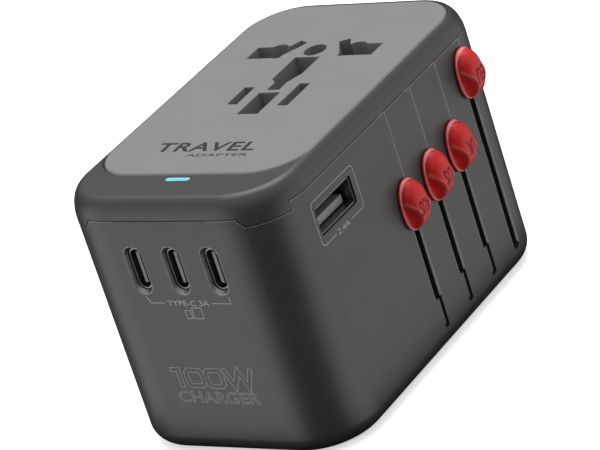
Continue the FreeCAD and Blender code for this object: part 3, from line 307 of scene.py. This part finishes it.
def wound(name, colour, turn, roughness=0.4):
    """Tape or sleeve wound round an upright axis: rings of a given height."""
    material, tree, shader, place = new_finish(name, colour, roughness)
    wave = tree.nodes.new("ShaderNodeTexWave")
    wave.bands_direction = "Z"
    wave.inputs["Scale"].default_value = 1 / (turn * MM) / (2 * math.pi)
    wave.inputs["Distortion"].default_value = 0.4
    tree.links.new(place, wave.inputs["Vector"])
    tree.links.new(tint(tree, wave.outputs["Fac"], shade(colour, 0.75), shade(colour, 1.1)),
                   shader.inputs["Base Color"])
    tree.links.new(spread(tree, noise(tree, place, 1.5), roughness - 0.08, roughness + 0.08),
                   shader.inputs["Roughness"])
    raise_by(tree, shader, wave.outputs["Fac"], 0.04)
    return material


def clear_glass():
    """Clear tube with faint waves in its wall."""
    material, tree, shader, place = new_finish("fuse_glass", (0.85, 0.9, 0.9), 0.06)
    shader.inputs["Transmission Weight"].default_value = 0.85
    tree.links.new(spread(tree, noise(tree, place, 2.0), 0.03, 0.12), shader.inputs["Roughness"])
    raise_by(tree, shader, noise(tree, place, 3.0), 0.01)
    return material


def lit_pipe():
    """Frosted light pipe lit by a diode: its glow varies in soft patches between two cyans."""
    material, tree, shader, place = new_finish("light_cyan", (0.06, 0.28, 0.36), 0.35)
    glow = noise(tree, place, 1.6, 1.0)
    tree.links.new(tint(tree, glow, (0.12, 0.42, 0.52), (0.19, 0.52, 0.62)),
                   shader.inputs["Emission Color"])
    shader.inputs["Emission Strength"].default_value = 0.85
    raise_by(tree, shader, noise(tree, place, 0.2), 0.01)
    return material


FINISH.update({
    "board_green": solder_mask(),
    "winding_yellow": wound("winding_yellow", (0.62, 0.42, 0.04), 0.9),
    "capacitor_sleeve": wound("capacitor_sleeve", (0.03, 0.035, 0.10), 6.0, 0.3),
    "fuse_glass": clear_glass(),
    "light_cyan": lit_pipe(),
    "barrier_board": plastic("barrier_board", (0.42, 0.38, 0.29), 0.75, grain=0.3, depth=0.03),
})

# %% [markdown]
# ## Dressing the nodes
# The record says which slot each node belongs to, so one loop gives every node its finish.

# %% Give each node its finish
for row in frame["record"]["subparts"]:
    NODES[row["node"]].data.materials.clear()
    NODES[row["node"]].data.materials.append(FINISH[row["material_slot"]])
print("finishes", len(FINISH))

# %% [markdown]
# ## Slider knobs
# Each slider ends in a red knob that a fingertip pushes. It has a thin raised rim, a dome at the top,
# and below it a bar with a scooped hollow on each side, so that the finger finds it without looking.
# One surface makes all of it: a polar grid over a rounded outline, whose height is a formula of
# place. Boolean pieces would leave hard joints between dome and bar; a formula runs them together.

# %% Shape of a knob
KNOB_HALF = (3.6, 5.45)
KNOB_TALL = 3.55
RIM_WIDE = 0.24
RIM_TALL = 0.60
ROUND = 2.25
CREST_IN = 1.15
CREST_SWING = 2.2


def ease(low, high, x):
    """Smooth step: 0 before low, 1 after high, either way round."""
    t = np.clip((x - low) / (high - low), 0, 1)
    return t * t * (3 - 2 * t)


def widen(up):
    """Width factor: 1 at the top, 6% more at the lower end."""
    return 1 + 0.06 * ease(1.0, -KNOB_HALF[1], up)


def knob_outline(angle):
    """Superellipse in millimetres, its width times the width factor."""
    c, s = np.cos(angle), np.sin(angle)
    across = np.sign(c) * np.abs(c) ** (2 / ROUND) * KNOB_HALF[0]
    up = np.sign(s) * np.abs(s) ** (2 / ROUND) * KNOB_HALF[1]
    return across * widen(up), up


def inner_edge(up):
    """Half width inside the rim: width x (1 - v ^ 2.25) ^ (1 / 2.25)."""
    v = np.clip(np.abs(up) / (KNOB_HALF[1] - RIM_WIDE), 0, 1)
    return (KNOB_HALF[0] * widen(up) - RIM_WIDE) * (1 - v ** ROUND) ** (1 / ROUND)


def crest_at(up):
    """Where the bar's edge runs: narrow at the lower end, swinging out to the rim at the shoulder."""
    return CREST_IN + CREST_SWING * ease(-3.4, 2.7, up)


def knob_height(across, up):
    """Height over the case side. Dome: root of 1 - reach ^ 2.4. Ridge: root of 1 - v ^ 2.2. The ridge
    takes over from the dome below the middle. Beyond the crest both are multiplied by the share of
    the way left to the rim, to the power 1.7, which scoops the hollow."""
    u = np.abs(across) / (KNOB_HALF[0] * widen(up) - RIM_WIDE)
    v = np.abs(up) / (KNOB_HALF[1] - RIM_WIDE)
    reach = np.clip((u ** ROUND + v ** ROUND) ** (1 / ROUND), 0, 1)
    dome = (1 - reach ** 2.4) ** 0.5
    ridge = np.clip(1 - v ** 2.2, 0, 1) ** 0.5 * (1 - reach ** 8) ** 0.5
    low = ease(1.8, -1.6, up)
    whole = (1 - low) * dome + low * ridge
    crest = crest_at(up)
    room = np.maximum(inner_edge(up) - crest, 0.25)
    left = 1 - np.clip((np.abs(across) - crest) / room, 0, 1)
    scoop = ease(3.0, 1.4, up)
    return RIM_TALL + (KNOB_TALL - RIM_TALL) * whole * (1 - scoop * (1 - left ** 1.7))


def knob_surface(around=224):
    """Closed surface (out, across, up) and how much painted highlight each point has.
    Rings run from the middle to the edge, then down the rim's wall and back under the foot."""
    angle = np.linspace(0, 2 * np.pi, around, endpoint=False)
    edge_a, edge_u = knob_outline(angle)
    share = np.hstack([np.linspace(0, 0.90, 74), np.linspace(0.905, 1.0, 20)])
    across = share[:, None] * edge_a
    up = share[:, None] * edge_u
    out = knob_height(across, up) - 0.30 * ease(0.965, 1.0, share)[:, None] ** 2
    # Painted highlight: a pale band on the rim's edge and a fainter one along the crest of the bar.
    rim = (ease(0.94, 0.955, share) * ease(1.0, 0.985, share))[:, None] * np.ones(around)
    off = (np.abs(across) - crest_at(up)) / 0.16
    crest = np.exp(-off ** 2) * ease(2.6, 1.6, up) * ease(0.94, 0.90, share)[:, None]
    rim_crest_highlight = np.clip(rim + 0.5 * crest, 0, 1)
    foot = np.array([[1.0, 0.12], [0.985, 0.0], [0.5, 0.0], [0.0, 0.0]])
    across = np.vstack([across, foot[:, :1] * edge_a])
    up = np.vstack([up, foot[:, :1] * edge_u])
    out = np.vstack([out, np.repeat(foot[:, 1:], around, axis=1)])
    rim_crest_highlight = np.vstack([rim_crest_highlight, np.zeros((len(foot), around))])
    return np.stack([out, across, up], axis=2), rim_crest_highlight


def place_on_knob(points, node):
    """Knob millimetres (out, across, up) to metres on the side of the case."""
    low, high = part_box(node)
    middle = np.array([low.x, (low.y + high.y) / 2, (low.z + high.z) / 2])
    return np.asarray(points) * MM + middle


# %% Make the four knobs
SLIDERS = {"au": "AUS", "us": "US", "uk": "UK", "eu": "EU"}
for key in SLIDERS:
    surface, rim_crest_highlight = knob_surface()
    rows, columns = surface.shape[:2]
    knob = add_piece(key + "_slider_knob", place_on_knob(surface.reshape(-1, 3), key + "_knob"),
                     grid_faces(rows, columns, wrap=True)[:, ::-1], "slider_" + key,
                     FINISH["knob_red"])
    # The painted highlight of rim and crest is stored on the knob's points.
    knob.data.attributes.new("rim_crest_highlight", "FLOAT", "POINT").data.foreach_set("value", rim_crest_highlight.ravel())
    close_poles(knob)
    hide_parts(key + "_knob")
print("knob points", len(knob.data.vertices), "faces", len(knob.data.polygons))

# %% [markdown]
# ## Lettering as flat meshes
# Print and moulded letters start as text, which Blender turns into a mesh, and are then laid on
# their surface by a formula. They are region codes, ratings and plain words, in Blender's own font.

# %% Text to arrays
def text_arrays(words, weight=0.0, spacing=1.0, filled=True, cuts=0):
    """Flat letters as points, faces and edges, scaled to the square from -1/2 to 1/2. Cuts divide
    every edge, so that the letters can follow a curved surface."""
    curve = bpy.data.curves.new("letters", "FONT")
    curve.body = words
    curve.space_character = spacing
    curve.resolution_u = 5
    curve.offset = weight
    curve.fill_mode = "BOTH" if filled else "NONE"
    holder = bpy.data.objects.new("letters", curve)
    bpy.context.scene.collection.objects.link(holder)
    bpy.context.view_layer.update()
    depsgraph = bpy.context.evaluated_depsgraph_get()
    mesh = bpy.data.meshes.new_from_object(holder.evaluated_get(depsgraph))
    if filled:
        finer = bmesh.new()
        finer.from_mesh(mesh)
        bmesh.ops.remove_doubles(finer, verts=finer.verts, dist=1e-5)
        if cuts:
            bmesh.ops.subdivide_edges(finer, edges=finer.edges, cuts=cuts, use_grid_fill=True)
        finer.to_mesh(mesh)
        finer.free()
    points = np.zeros(len(mesh.vertices) * 3)
    mesh.vertices.foreach_get("co", points)
    edges = np.zeros(len(mesh.edges) * 2, int)
    mesh.edges.foreach_get("vertices", edges)
    faces = [tuple(p.vertices) for p in mesh.polygons]
    bpy.data.objects.remove(holder)
    bpy.data.meshes.remove(mesh)
    points = points.reshape(-1, 3)[:, :2]
    low, high = points.min(0), points.max(0)
    return (points - (low + high) / 2) / (high - low), faces, edges.reshape(-1, 2)


def text_mesh(words, width, height, weight=0.0, spacing=1.0, cuts=0):
    """Filled letters stretched to width x height millimetres."""
    points, faces, _ = text_arrays(words, weight, spacing, cuts=cuts)
    return points * [width, height], faces


# %% [markdown]
# ## Region codes
# Each knob says which plug it pushes out. The letters lie over the bar, so their points take their
# height from the knob's own formula, and each letter is cut fine enough to bend with it. On the knob
# the letters are engraved, and their dark red is painted shade of the engraving.

# %% Region codes on the knobs
def knob_letters(key, words):
    """Letters over the bar. They read with the pins held up, so right is -Y and up is -Z."""
    width = 3.4 if len(words) > 2 else 2.8
    tall = 3.3
    flat, faces = text_mesh(words, width, tall, weight=0.014, cuts=5)
    across, up = -flat[:, 0], -flat[:, 1] - 0.3
    out = knob_height(across, up) + 0.02
    points = place_on_knob(np.stack([out, across, up], axis=1), key + "_knob")
    # The letters' dark red is painted shade of the engraving.
    return add_piece(key + "_region_code", points, faces, "slider_" + key, LETTER_SHADE_RED, False)


for key, words in SLIDERS.items():
    knob_letters(key, words)
print("region codes", list(SLIDERS.values()))

# %% [markdown]
# ## Print on the case
# Each mark is drawn on the unrolled wall, in millimetres, and then wrapped round the case a hundredth
# of a millimetre off it. The unrolled wall is measured along the outline from the middle of the port
# end, so a line keeps its width where it turns a corner.

# %% Where print lies
LIFT = 0.012
FLAT_END = SIDE_X / MM - CORNER_R / MM
TURN_R = CORNER_R / MM
WRAP = FLAT_END + TURN_R * math.pi / 2 - END_Y / MM - TURN_R
BROW_IN, BROW_DOWN = 3.0, 5.6


def on_wall(along, z, lift=LIFT):
    """Unrolled wall to metres: straight, quarter circle, straight, and the same mirrored behind the
    middle. Under the top edge an ellipse draws the outline in by up to BROW_IN."""
    along, z = np.broadcast_arrays(np.asarray(along, float), np.asarray(z, float))
    half = np.abs(along)
    behind = half > WRAP
    half = np.where(behind, 2 * WRAP - half, half)
    climb = np.clip((z - (TOP_Z / MM - BROW_DOWN)) / BROW_DOWN, 0, 1)
    radius = TURN_R - BROW_IN * (1 - np.sqrt(1 - climb ** 2)) + lift
    turn = np.clip((half - FLAT_END) / TURN_R, 0, math.pi / 2)
    past = np.maximum(half - FLAT_END - TURN_R * math.pi / 2, 0)
    x = np.minimum(half, FLAT_END) + radius * np.sin(turn)
    y = END_Y / MM + TURN_R - radius * np.cos(turn) + past
    return np.stack([np.sign(along) * x, np.where(behind, -y, y), z], axis=-1) * MM


def on_side(y, z):
    """The slider side by its y: the unrolled wall, shifted."""
    return on_wall(np.asarray(y) + WRAP, z)


def on_top(x, y):
    """The flat top: x and y as they are, a little above it."""
    x, y = np.asarray(x) * MM, np.asarray(y) * MM
    return np.stack([x, y, np.full_like(x, TOP_Z + LIFT * MM)], axis=-1)


def dense(path, step=0.5):
    """The same run of lines with a point at least every step, so that it can bend round a corner."""
    path = np.asarray(path, float)
    length = np.hstack([0, np.cumsum(np.linalg.norm(np.diff(path, axis=0), axis=1))])
    places = np.union1d(np.arange(0, length[-1], step), length)
    return np.stack([np.interp(places, length, path[:, k]) for k in (0, 1)], axis=1)


def ribbon(path, width, closed=False):
    """Flat line of even width along a path: each point steps half the width to the right and to
    the left, along the mean of the normals of its two neighbours, lengthened at corners."""
    path = np.asarray(path, float)
    if closed:
        ahead = np.roll(path, -1, axis=0) - path
        behind = path - np.roll(path, 1, axis=0)
    else:
        step = np.diff(path, axis=0)
        ahead = np.vstack([step, step[-1:]])
        behind = np.vstack([step[:1], step])
    ahead = ahead / np.linalg.norm(ahead, axis=1, keepdims=True)
    behind = behind / np.linalg.norm(behind, axis=1, keepdims=True)
    side = np.stack([-(ahead + behind)[:, 1], (ahead + behind)[:, 0]], axis=1)
    side = side / np.linalg.norm(side, axis=1, keepdims=True)
    stretch = 1 / np.maximum(np.sqrt((1 + (ahead * behind).sum(1)) / 2), 0.4)
    offset = side * (stretch * width / 2)[:, None]
    return np.vstack([path - offset, path + offset]), grid_faces(2, len(path), wrap=closed)


def round_rectangle(cx, cy, width, height, radius, steps=8):
    """Outline of a rectangle with round corners, anticlockwise from the right end's lower corner."""
    turn = np.linspace(0, np.pi / 2, steps)
    centres = [(1, -1), (1, 1), (-1, 1), (-1, -1)]
    parts = []
    for k, (sx, sy) in enumerate(centres):
        angle = turn + (k - 1) * np.pi / 2
        parts.append(np.stack([cx + sx * (width / 2 - radius) + radius * np.cos(angle),
                               cy + sy * (height / 2 - radius) + radius * np.sin(angle)], axis=1))
    return np.vstack(parts)


def print_mark(name, pieces, where, body="case", ink=INK):
    """Joins flat (points, faces) pairs into one mark laid on a face by where(a, b)."""
    points, faces, start = [], [], 0
    for flat, quads in pieces:
        points.append(where(flat[:, 0], flat[:, 1]))
        faces += [tuple(i + start for i in face) for face in quads]
        start += len(flat)
    return add_piece(name, np.vstack(points), faces, body, ink, False)


def moved(piece, dx, dy):
    """The same flat piece, shifted."""
    return piece[0] + [dx, dy], piece[1]


# %% [markdown]
# ## Marks by the ports
# A thin bracket ties the three upright ports to one rating, with a little drawing of a phone and a
# tablet below. The flat port beside the sliders has a round-cornered frame, broken by its rating.

# %% Bracket, icon and frame
LINE = 0.17
PORTS = ("left", "middle", "right")
PORT_X = [sum(c.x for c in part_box("usbc_shell_" + side)) / 2 / MM for side in PORTS]
BRACKET_Z = 34.5
left_arm = [(PORT_X[0] - 0.3, BRACKET_Z + 1.5), (PORT_X[0] + 0.5, BRACKET_Z), (-5.2, BRACKET_Z)]
right_arm = [(5.8, BRACKET_Z), (PORT_X[2] + 1.4, BRACKET_Z), (PORT_X[2] + 1.3, BRACKET_Z + 1.5)]
print_mark("port_bracket", [ribbon(left_arm, LINE), ribbon(right_arm, LINE),
                            moved(text_mesh("TYPE-C 3A", 9.8, 1.2, weight=0.01), 0.3, BRACKET_Z)], on_wall)
PHONE = (-0.45, 32.0, 1.3, 1.8, 0.2)
TABLET = (1.75, 32.3, 2.2, 2.4, 0.2)
outlines = [round_rectangle(*shape) for shape in (PHONE, TABLET)]
print_mark("device_icon", [ribbon(outline, LINE, True) for outline in outlines], on_wall)

FRAME_Y = (-31.3, -15.5)
FRAME_Z = (40.0, 49.2)
GAP_Y = (-26.4, -20.6)
frame_path = round_rectangle(sum(FRAME_Y) / 2, sum(FRAME_Z) / 2, FRAME_Y[1] - FRAME_Y[0],
                             FRAME_Z[1] - FRAME_Z[0], 1.1, 10)
frame_path = np.vstack([[(GAP_Y[1], FRAME_Z[0])], frame_path, [(GAP_Y[0], FRAME_Z[0])]])
side_rating = moved(text_mesh("2.4A", 4.4, 1.25), sum(GAP_Y) / 2, FRAME_Z[0])
print_mark("side_port_frame", [ribbon(dense(frame_path), LINE), side_rating], on_side, ink=FINE_INK_AND_SLOT_HIGHLIGHT)
print("ports at", [round(x, 2) for x in PORT_X], "frame", FRAME_Y, FRAME_Z)

# %% [markdown]
# ## Power rating in double lines
# The rating is printed as hollow letters: each stroke shows only its two edges. So a letter is first a
# path for the middle of its stroke, then the closed loop at half the stroke's weight from that path,
# and last a thin ribbon along that loop. The smaller word under it takes its loops from the font.

# %% Hollow letters
def stroke_loops(path, weight, closed=False):
    """Outline of a stroke: the two edges of a ribbon of that weight, joined where it is open."""
    edges, quads = ribbon(path, weight, closed)
    right, left = edges[:len(path)], edges[len(path):]
    return [right, left] if closed else [np.vstack([right, left[::-1]])]


def text_loops(words, width, height):
    """Closed loops round the letters: a run of edges i, i + 1 ends at the edge that jumps back."""
    points, _, edges = text_arrays(words, filled=False)
    jumps = edges[np.abs(edges[:, 0] - edges[:, 1]) > 1]
    jumps.sort(axis=1)
    return [points[first:last + 1] * [width, height] for first, last in jumps]


def hollow(loops, dx, dz, width):
    """A thin closed ribbon along every loop, shifted."""
    return [ribbon(loop + [dx, dz], width, True) for loop in loops]


RATING_Z = (15.4, 19.9)
STROKE = 0.95
WORD_AT = (-0.2, 13.3)
low, high = RATING_Z[0] + STROKE / 2, RATING_Z[1] - STROKE / 2
one = [(-9.6, high), (-7.9, high), (-7.9, low - STROKE / 2)]
double_u = [(3.0, high + STROKE / 2), (4.7, low), (6.3, high), (7.9, low), (9.4, high + STROKE / 2)]
zeros = [round_rectangle(x, (low + high) / 2, 3.7, high - low, 0.9) for x in (-4.3, 0.4)]
rating = stroke_loops(one, STROKE) + stroke_loops(double_u, STROKE)
for zero in zeros:
    rating += stroke_loops(zero, STROKE, closed=True)
print_mark("power_rating", hollow(rating, 0, 0, 0.13), on_wall, ink=FINE_INK_AND_SLOT_HIGHLIGHT)
word = hollow(text_loops("CHARGER", 19.0, 2.5), *WORD_AT, 0.11)
print_mark("power_word", word, on_wall, ink=FINE_INK_AND_SLOT_HIGHLIGHT)
print("rating loops", len(rating))

# %% [markdown]
# ## Words on the plate
# Two plain words near the front edge of the socket plate, in glossy black on the grey. They are flat
# filled letters, because the plate is flat and nothing has to bend.

# %% Words on the panel
print_mark("panel_word", [moved(text_mesh("TRAVEL", 23.5, 3.6, weight=0.02, spacing=1.08), -1.2, -21.0),
                          moved(text_mesh("ADAPTER", 14.6, 1.0, weight=0.01), 3.2, -24.4)],
           on_top, ink=MARK)

# %% [markdown]
# ## Edges that catch the light
# A mould leaves every sharp outer edge with a tiny radius, and on dark plastic that radius shows as a
# hairline brighter than both faces. The solid model's edges are perfectly sharp, so each such edge
# gets a painted highlight, a pale hairline of its own: round the port mouths, along the slots' front
# edges, and under the cover's seam. The slots' back edges are sloped, and a pale strip of painted
# highlight lies on each slope.

# %% Hairlines
HAIR = 0.13
RIM = (4.2, 10.5)
USBC_Z = sum(c.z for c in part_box("usbc_shell_left")) / 2 / MM
# Painted highlight round each port mouth.
mouths = [ribbon(round_rectangle(x, USBC_Z, RIM[0] + HAIR, RIM[1] + HAIR, RIM[0] / 2, 14), HAIR, True)
          for x in PORT_X]
print_mark("port_mouth_edges", mouths, on_wall, ink=HAIRLINE_HIGHLIGHT_PAINT)

# %% Port lips
LIP_DEEP = 0.94
LIP_NARROWS = (0.64, 1.26)


def funnel(x, steps=16):
    """Flared steel lip in a port's recess: the outline shrinks evenly from the mouth to the shell as
    the profile goes in, and comes back half a tenth further inside, so that the wall is closed."""
    inward = np.linspace(0, 1, 7)
    outer, inner = np.full_like(inward, 0.012), np.full_like(inward, 0.06)
    profile = np.vstack([np.stack([inward, outer], 1), np.stack([inward[::-1], inner], 1)])
    rows = []
    for share, gap in np.vstack([profile, profile[:1]]):
        width = RIM[0] - LIP_NARROWS[0] * share - 2 * gap
        height = RIM[1] - LIP_NARROWS[1] * share - 2 * gap
        flat = round_rectangle(x, USBC_Z, width, height, width * 0.499, steps)
        depth = np.full(len(flat), END_Y / MM + 0.02 + LIP_DEEP * share)
        rows.append(np.stack([flat[:, 0], depth, flat[:, 1]], 1))
    return np.array(rows) * MM


for side, x in zip(PORTS, PORT_X):
    lip = funnel(x)
    add_piece("port_lip_" + side, lip.reshape(-1, 3), grid_faces(*lip.shape[:2], wrap=True)[:, ::-1],
              "case", LIP_STEEL)
print("port lips", lip.shape)

# %% Seam hairlines
SEAM_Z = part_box("main_housing")[1].z / MM
UNDER = 0.08
DIP = 2.0
SLOPE = (17.3 - UNDER, 18.9 - UNDER)
STEP = 28.5 + UNDER
high, low = SEAM_Z - UNDER, SEAM_Z - DIP - UNDER
# Painted highlight under the cover's seam.
seam = dense([(11.0, high), (SLOPE[0], high), (SLOPE[1], low), (STEP, low), (STEP, high),
              (2 * WRAP, high)])
print_mark("seam_edges", [ribbon(seam, HAIR), ribbon(seam * [-1, 1], HAIR)], on_wall, ink=HAIRLINE_HIGHLIGHT_PAINT)
print("seam at", round(SEAM_Z, 2))

# %% Slot hairlines and strips
SLOT_HALF = 1.075
BEVEL = 0.35
OPEN_Z = 29.5
SLOT_LOW = {"au": 11.2, "us": 11.2, "uk": 11.2, "eu": 5.7}
# Painted highlight along each slot's front edge, and a pale strip of painted highlight on its sloped back
# edge.
slot_lines = []
sloped = []
for key, low_end in SLOT_LOW.items():
    middle = sum(c.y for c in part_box(key + "_knob")) / 2 / MM
    front = middle - SLOT_HALF - HAIR / 2
    slot_lines.append(ribbon([(front, low_end), (front, OPEN_Z)], HAIR))
    deep, outer = SIDE_X / MM - BEVEL, SIDE_X / MM
    inside, outside = middle + SLOT_HALF, middle + SLOT_HALF + BEVEL
    sloped += [(deep, inside, low_end), (outer, outside, low_end),
               (outer, outside, SEAM_Z - 0.2), (deep, inside, SEAM_Z - 0.2)]
print_mark("slot_edges", slot_lines, on_side, ink=HAIRLINE_HIGHLIGHT_PAINT)
# The pale strips on the sloped edges are a painted highlight.
sloped = (np.array(sloped) + [LIFT, -LIFT, 0]) * MM
quads = np.arange(len(sloped)).reshape(-1, 4)
add_piece("slot_bevels", sloped, quads, "case", FINE_INK_AND_SLOT_HIGHLIGHT, False)
print("slots", len(slot_lines), "strips", len(quads))

# %% [markdown]
# ## Studio
# Dark plastic shows what it mirrors more than its own colour. So the surroundings are a plain soft
# studio drawn by direction: bright overhead, two broad soft panels facing the port end and the slider
# side, and nothing between them, which leaves the upright corner dark. The pale floor shows to the
# camera but throws no light back. A black card hidden under that floor is what the foot of the case
# mirrors: a dark sheet put in as painted shade, in place of the shade a table top would hold under
# the case.

# %% Floor and card
def flat_sheet(name, reach_x, reach_y, height, material):
    """Level grid of 9 x 9 points, reaching that far from the middle both ways."""
    share = np.linspace(-1, 1, 9)
    x, y = np.meshgrid(share * reach_x, share * reach_y, indexing="ij")
    points = np.stack([x.ravel(), y.ravel(), np.full(x.size, height)], axis=1)
    mesh = bpy.data.meshes.new(name)
    mesh.from_pydata(points.tolist(), [], grid_faces(9, 9)[:, ::-1].tolist())
    mesh.materials.append(material)
    sheet = bpy.data.objects.new(name, mesh)
    bpy.context.scene.collection.objects.link(sheet)
    return sheet


def floor():
    """Pale paper with faint unevenness in its finish, lit a little from within."""
    material, tree, shader, place = new_finish("floor_paper", (0.90, 0.90, 0.90), 0.8)
    tree.links.new(spread(tree, noise(tree, place, 60.0), 0.75, 0.85), shader.inputs["Roughness"])
    shader.inputs["Emission Color"].default_value = (1, 1, 1, 1)
    shader.inputs["Emission Strength"].default_value = 0.55
    sheet = flat_sheet("floor", 6.0, 6.0, -0.2 * MM, material)
    sheet.visible_diffuse = False
    sheet.visible_glossy = False
    sheet.visible_shadow = False


def card(margin):
    """Black card that reaches past the case by a margin all round, just below the floor."""
    # Painted shade: a black sheet for the foot to mirror, in place of the shade under the case.
    black = plastic("card_black", (0.004, 0.004, 0.004), 0.9)
    sheet = flat_sheet("card", SIDE_X + margin, -END_Y + margin, -0.4 * MM, black)
    sheet.visible_camera = False


floor()
card(7 * MM)


# %% [markdown]
# ## Soft panels all round
# A panel here is a patch of sky with soft edges: brightness rises smoothly as a direction comes near
# where the panel aims. It could be a sheet of light in the scene instead, but then it would also show
# in pictures from behind. One is overhead, one faces the port end and two face the slider side.

# %% Surroundings by direction
def soft_panel(tree, direction, aim, start, full, strength):
    """Brightness that rises smoothly as the direction comes within an angle of where it aims."""
    aim = np.array(aim) / np.linalg.norm(aim)
    along = tree.nodes.new("ShaderNodeVectorMath")
    along.operation = "DOT_PRODUCT"
    tree.links.new(direction, along.inputs[0])
    along.inputs[1].default_value = aim
    rise = tree.nodes.new("ShaderNodeMapRange")
    rise.interpolation_type = "SMOOTHSTEP"
    rise.inputs["From Min"].default_value = start
    rise.inputs["From Max"].default_value = full
    rise.inputs["To Max"].default_value = strength
    tree.links.new(along.outputs["Value"], rise.inputs["Value"])
    return rise.outputs["Result"]


def surroundings(base, panels):
    """World whose brightness is a base plus every soft panel."""
    world = bpy.data.worlds.new("studio")
    world.use_nodes = True
    tree = world.node_tree
    direction = tree.nodes.new("ShaderNodeTexCoord").outputs["Generated"]
    total = None
    for panel in panels:
        value = soft_panel(tree, direction, *panel)
        add = tree.nodes.new("ShaderNodeMath")
        add.operation = "ADD"
        tree.links.new(value, add.inputs[0])
        if total is None:
            add.inputs[1].default_value = base
        else:
            tree.links.new(total, add.inputs[1])
        total = add.outputs[0]
    background = tree.nodes["Background"]
    background.inputs["Color"].default_value = (1, 1, 1, 1)
    tree.links.new(total, background.inputs["Strength"])
    bpy.context.scene.world = world


surroundings(0.04, [((0, 0, 1), 0.12, 0.75, 0.85),
                    ((-0.66, -0.70, -0.25), 0.66, 0.97, 1.60),
                    ((0.80, 0.46, -0.30), 0.50, 0.90, 0.95),
                    ((0.93, 0.10, -0.35), 0.86, 0.99, 0.70)])


# %% [markdown]
# ## One lamp
# A square lamp high up gives the plate and the knobs' tops a direction, which an even sky can't.

# %% Overhead light
def soft_light(name, place, target, size, power):
    """Square area light aimed at a point."""
    light = bpy.data.lights.new(name, "AREA")
    light.size = size
    light.energy = power
    lamp = bpy.data.objects.new(name, light)
    bpy.context.scene.collection.objects.link(lamp)
    lamp.location = place
    lamp.rotation_mode = "QUATERNION"
    lamp.rotation_quaternion = (Vector(target) - Vector(place)).to_track_quat("-Z", "Y")


MIDDLE = (0.0, 0.0, 0.028)
soft_light("over", (-0.1, 0.25, 0.9), MIDDLE, 0.7, 6.0)
bpy.context.scene.view_settings.view_transform = "Standard"

# %% [markdown]
# ## Camera
# A long lens well back keeps the box's edges nearly parallel. The camera is above and to the right of
# the port end, and rolled so that the adapter leans in the frame.

# %% Camera
EYE = np.array([381.87, -480.47, 301.75]) * MM
LOOK = np.array([-0.57017782, 0.71314735, -0.40782117])
ROLL = math.radians(-18.23)
LENS = 201.47


def camera():
    """Camera from a place, a direction and a roll about that direction."""
    level = np.cross(LOOK, (0, 0, 1))
    level = level / np.linalg.norm(level)
    up = np.cross(level, LOOK)
    right = math.cos(ROLL) * level + math.sin(ROLL) * up
    top = np.cross(right, LOOK)
    pose = Matrix.Identity(4)
    for row in range(3):
        pose[row][0] = right[row]
        pose[row][1] = top[row]
        pose[row][2] = -LOOK[row]
        pose[row][3] = EYE[row]
    data = bpy.data.cameras.new("camera")
    data.lens = LENS
    data.sensor_width = 36.0
    data.clip_end = 20.0
    eye = bpy.data.objects.new("camera", data)
    bpy.context.scene.collection.objects.link(eye)
    eye.matrix_world = pose
    bpy.context.scene.camera = eye


camera()
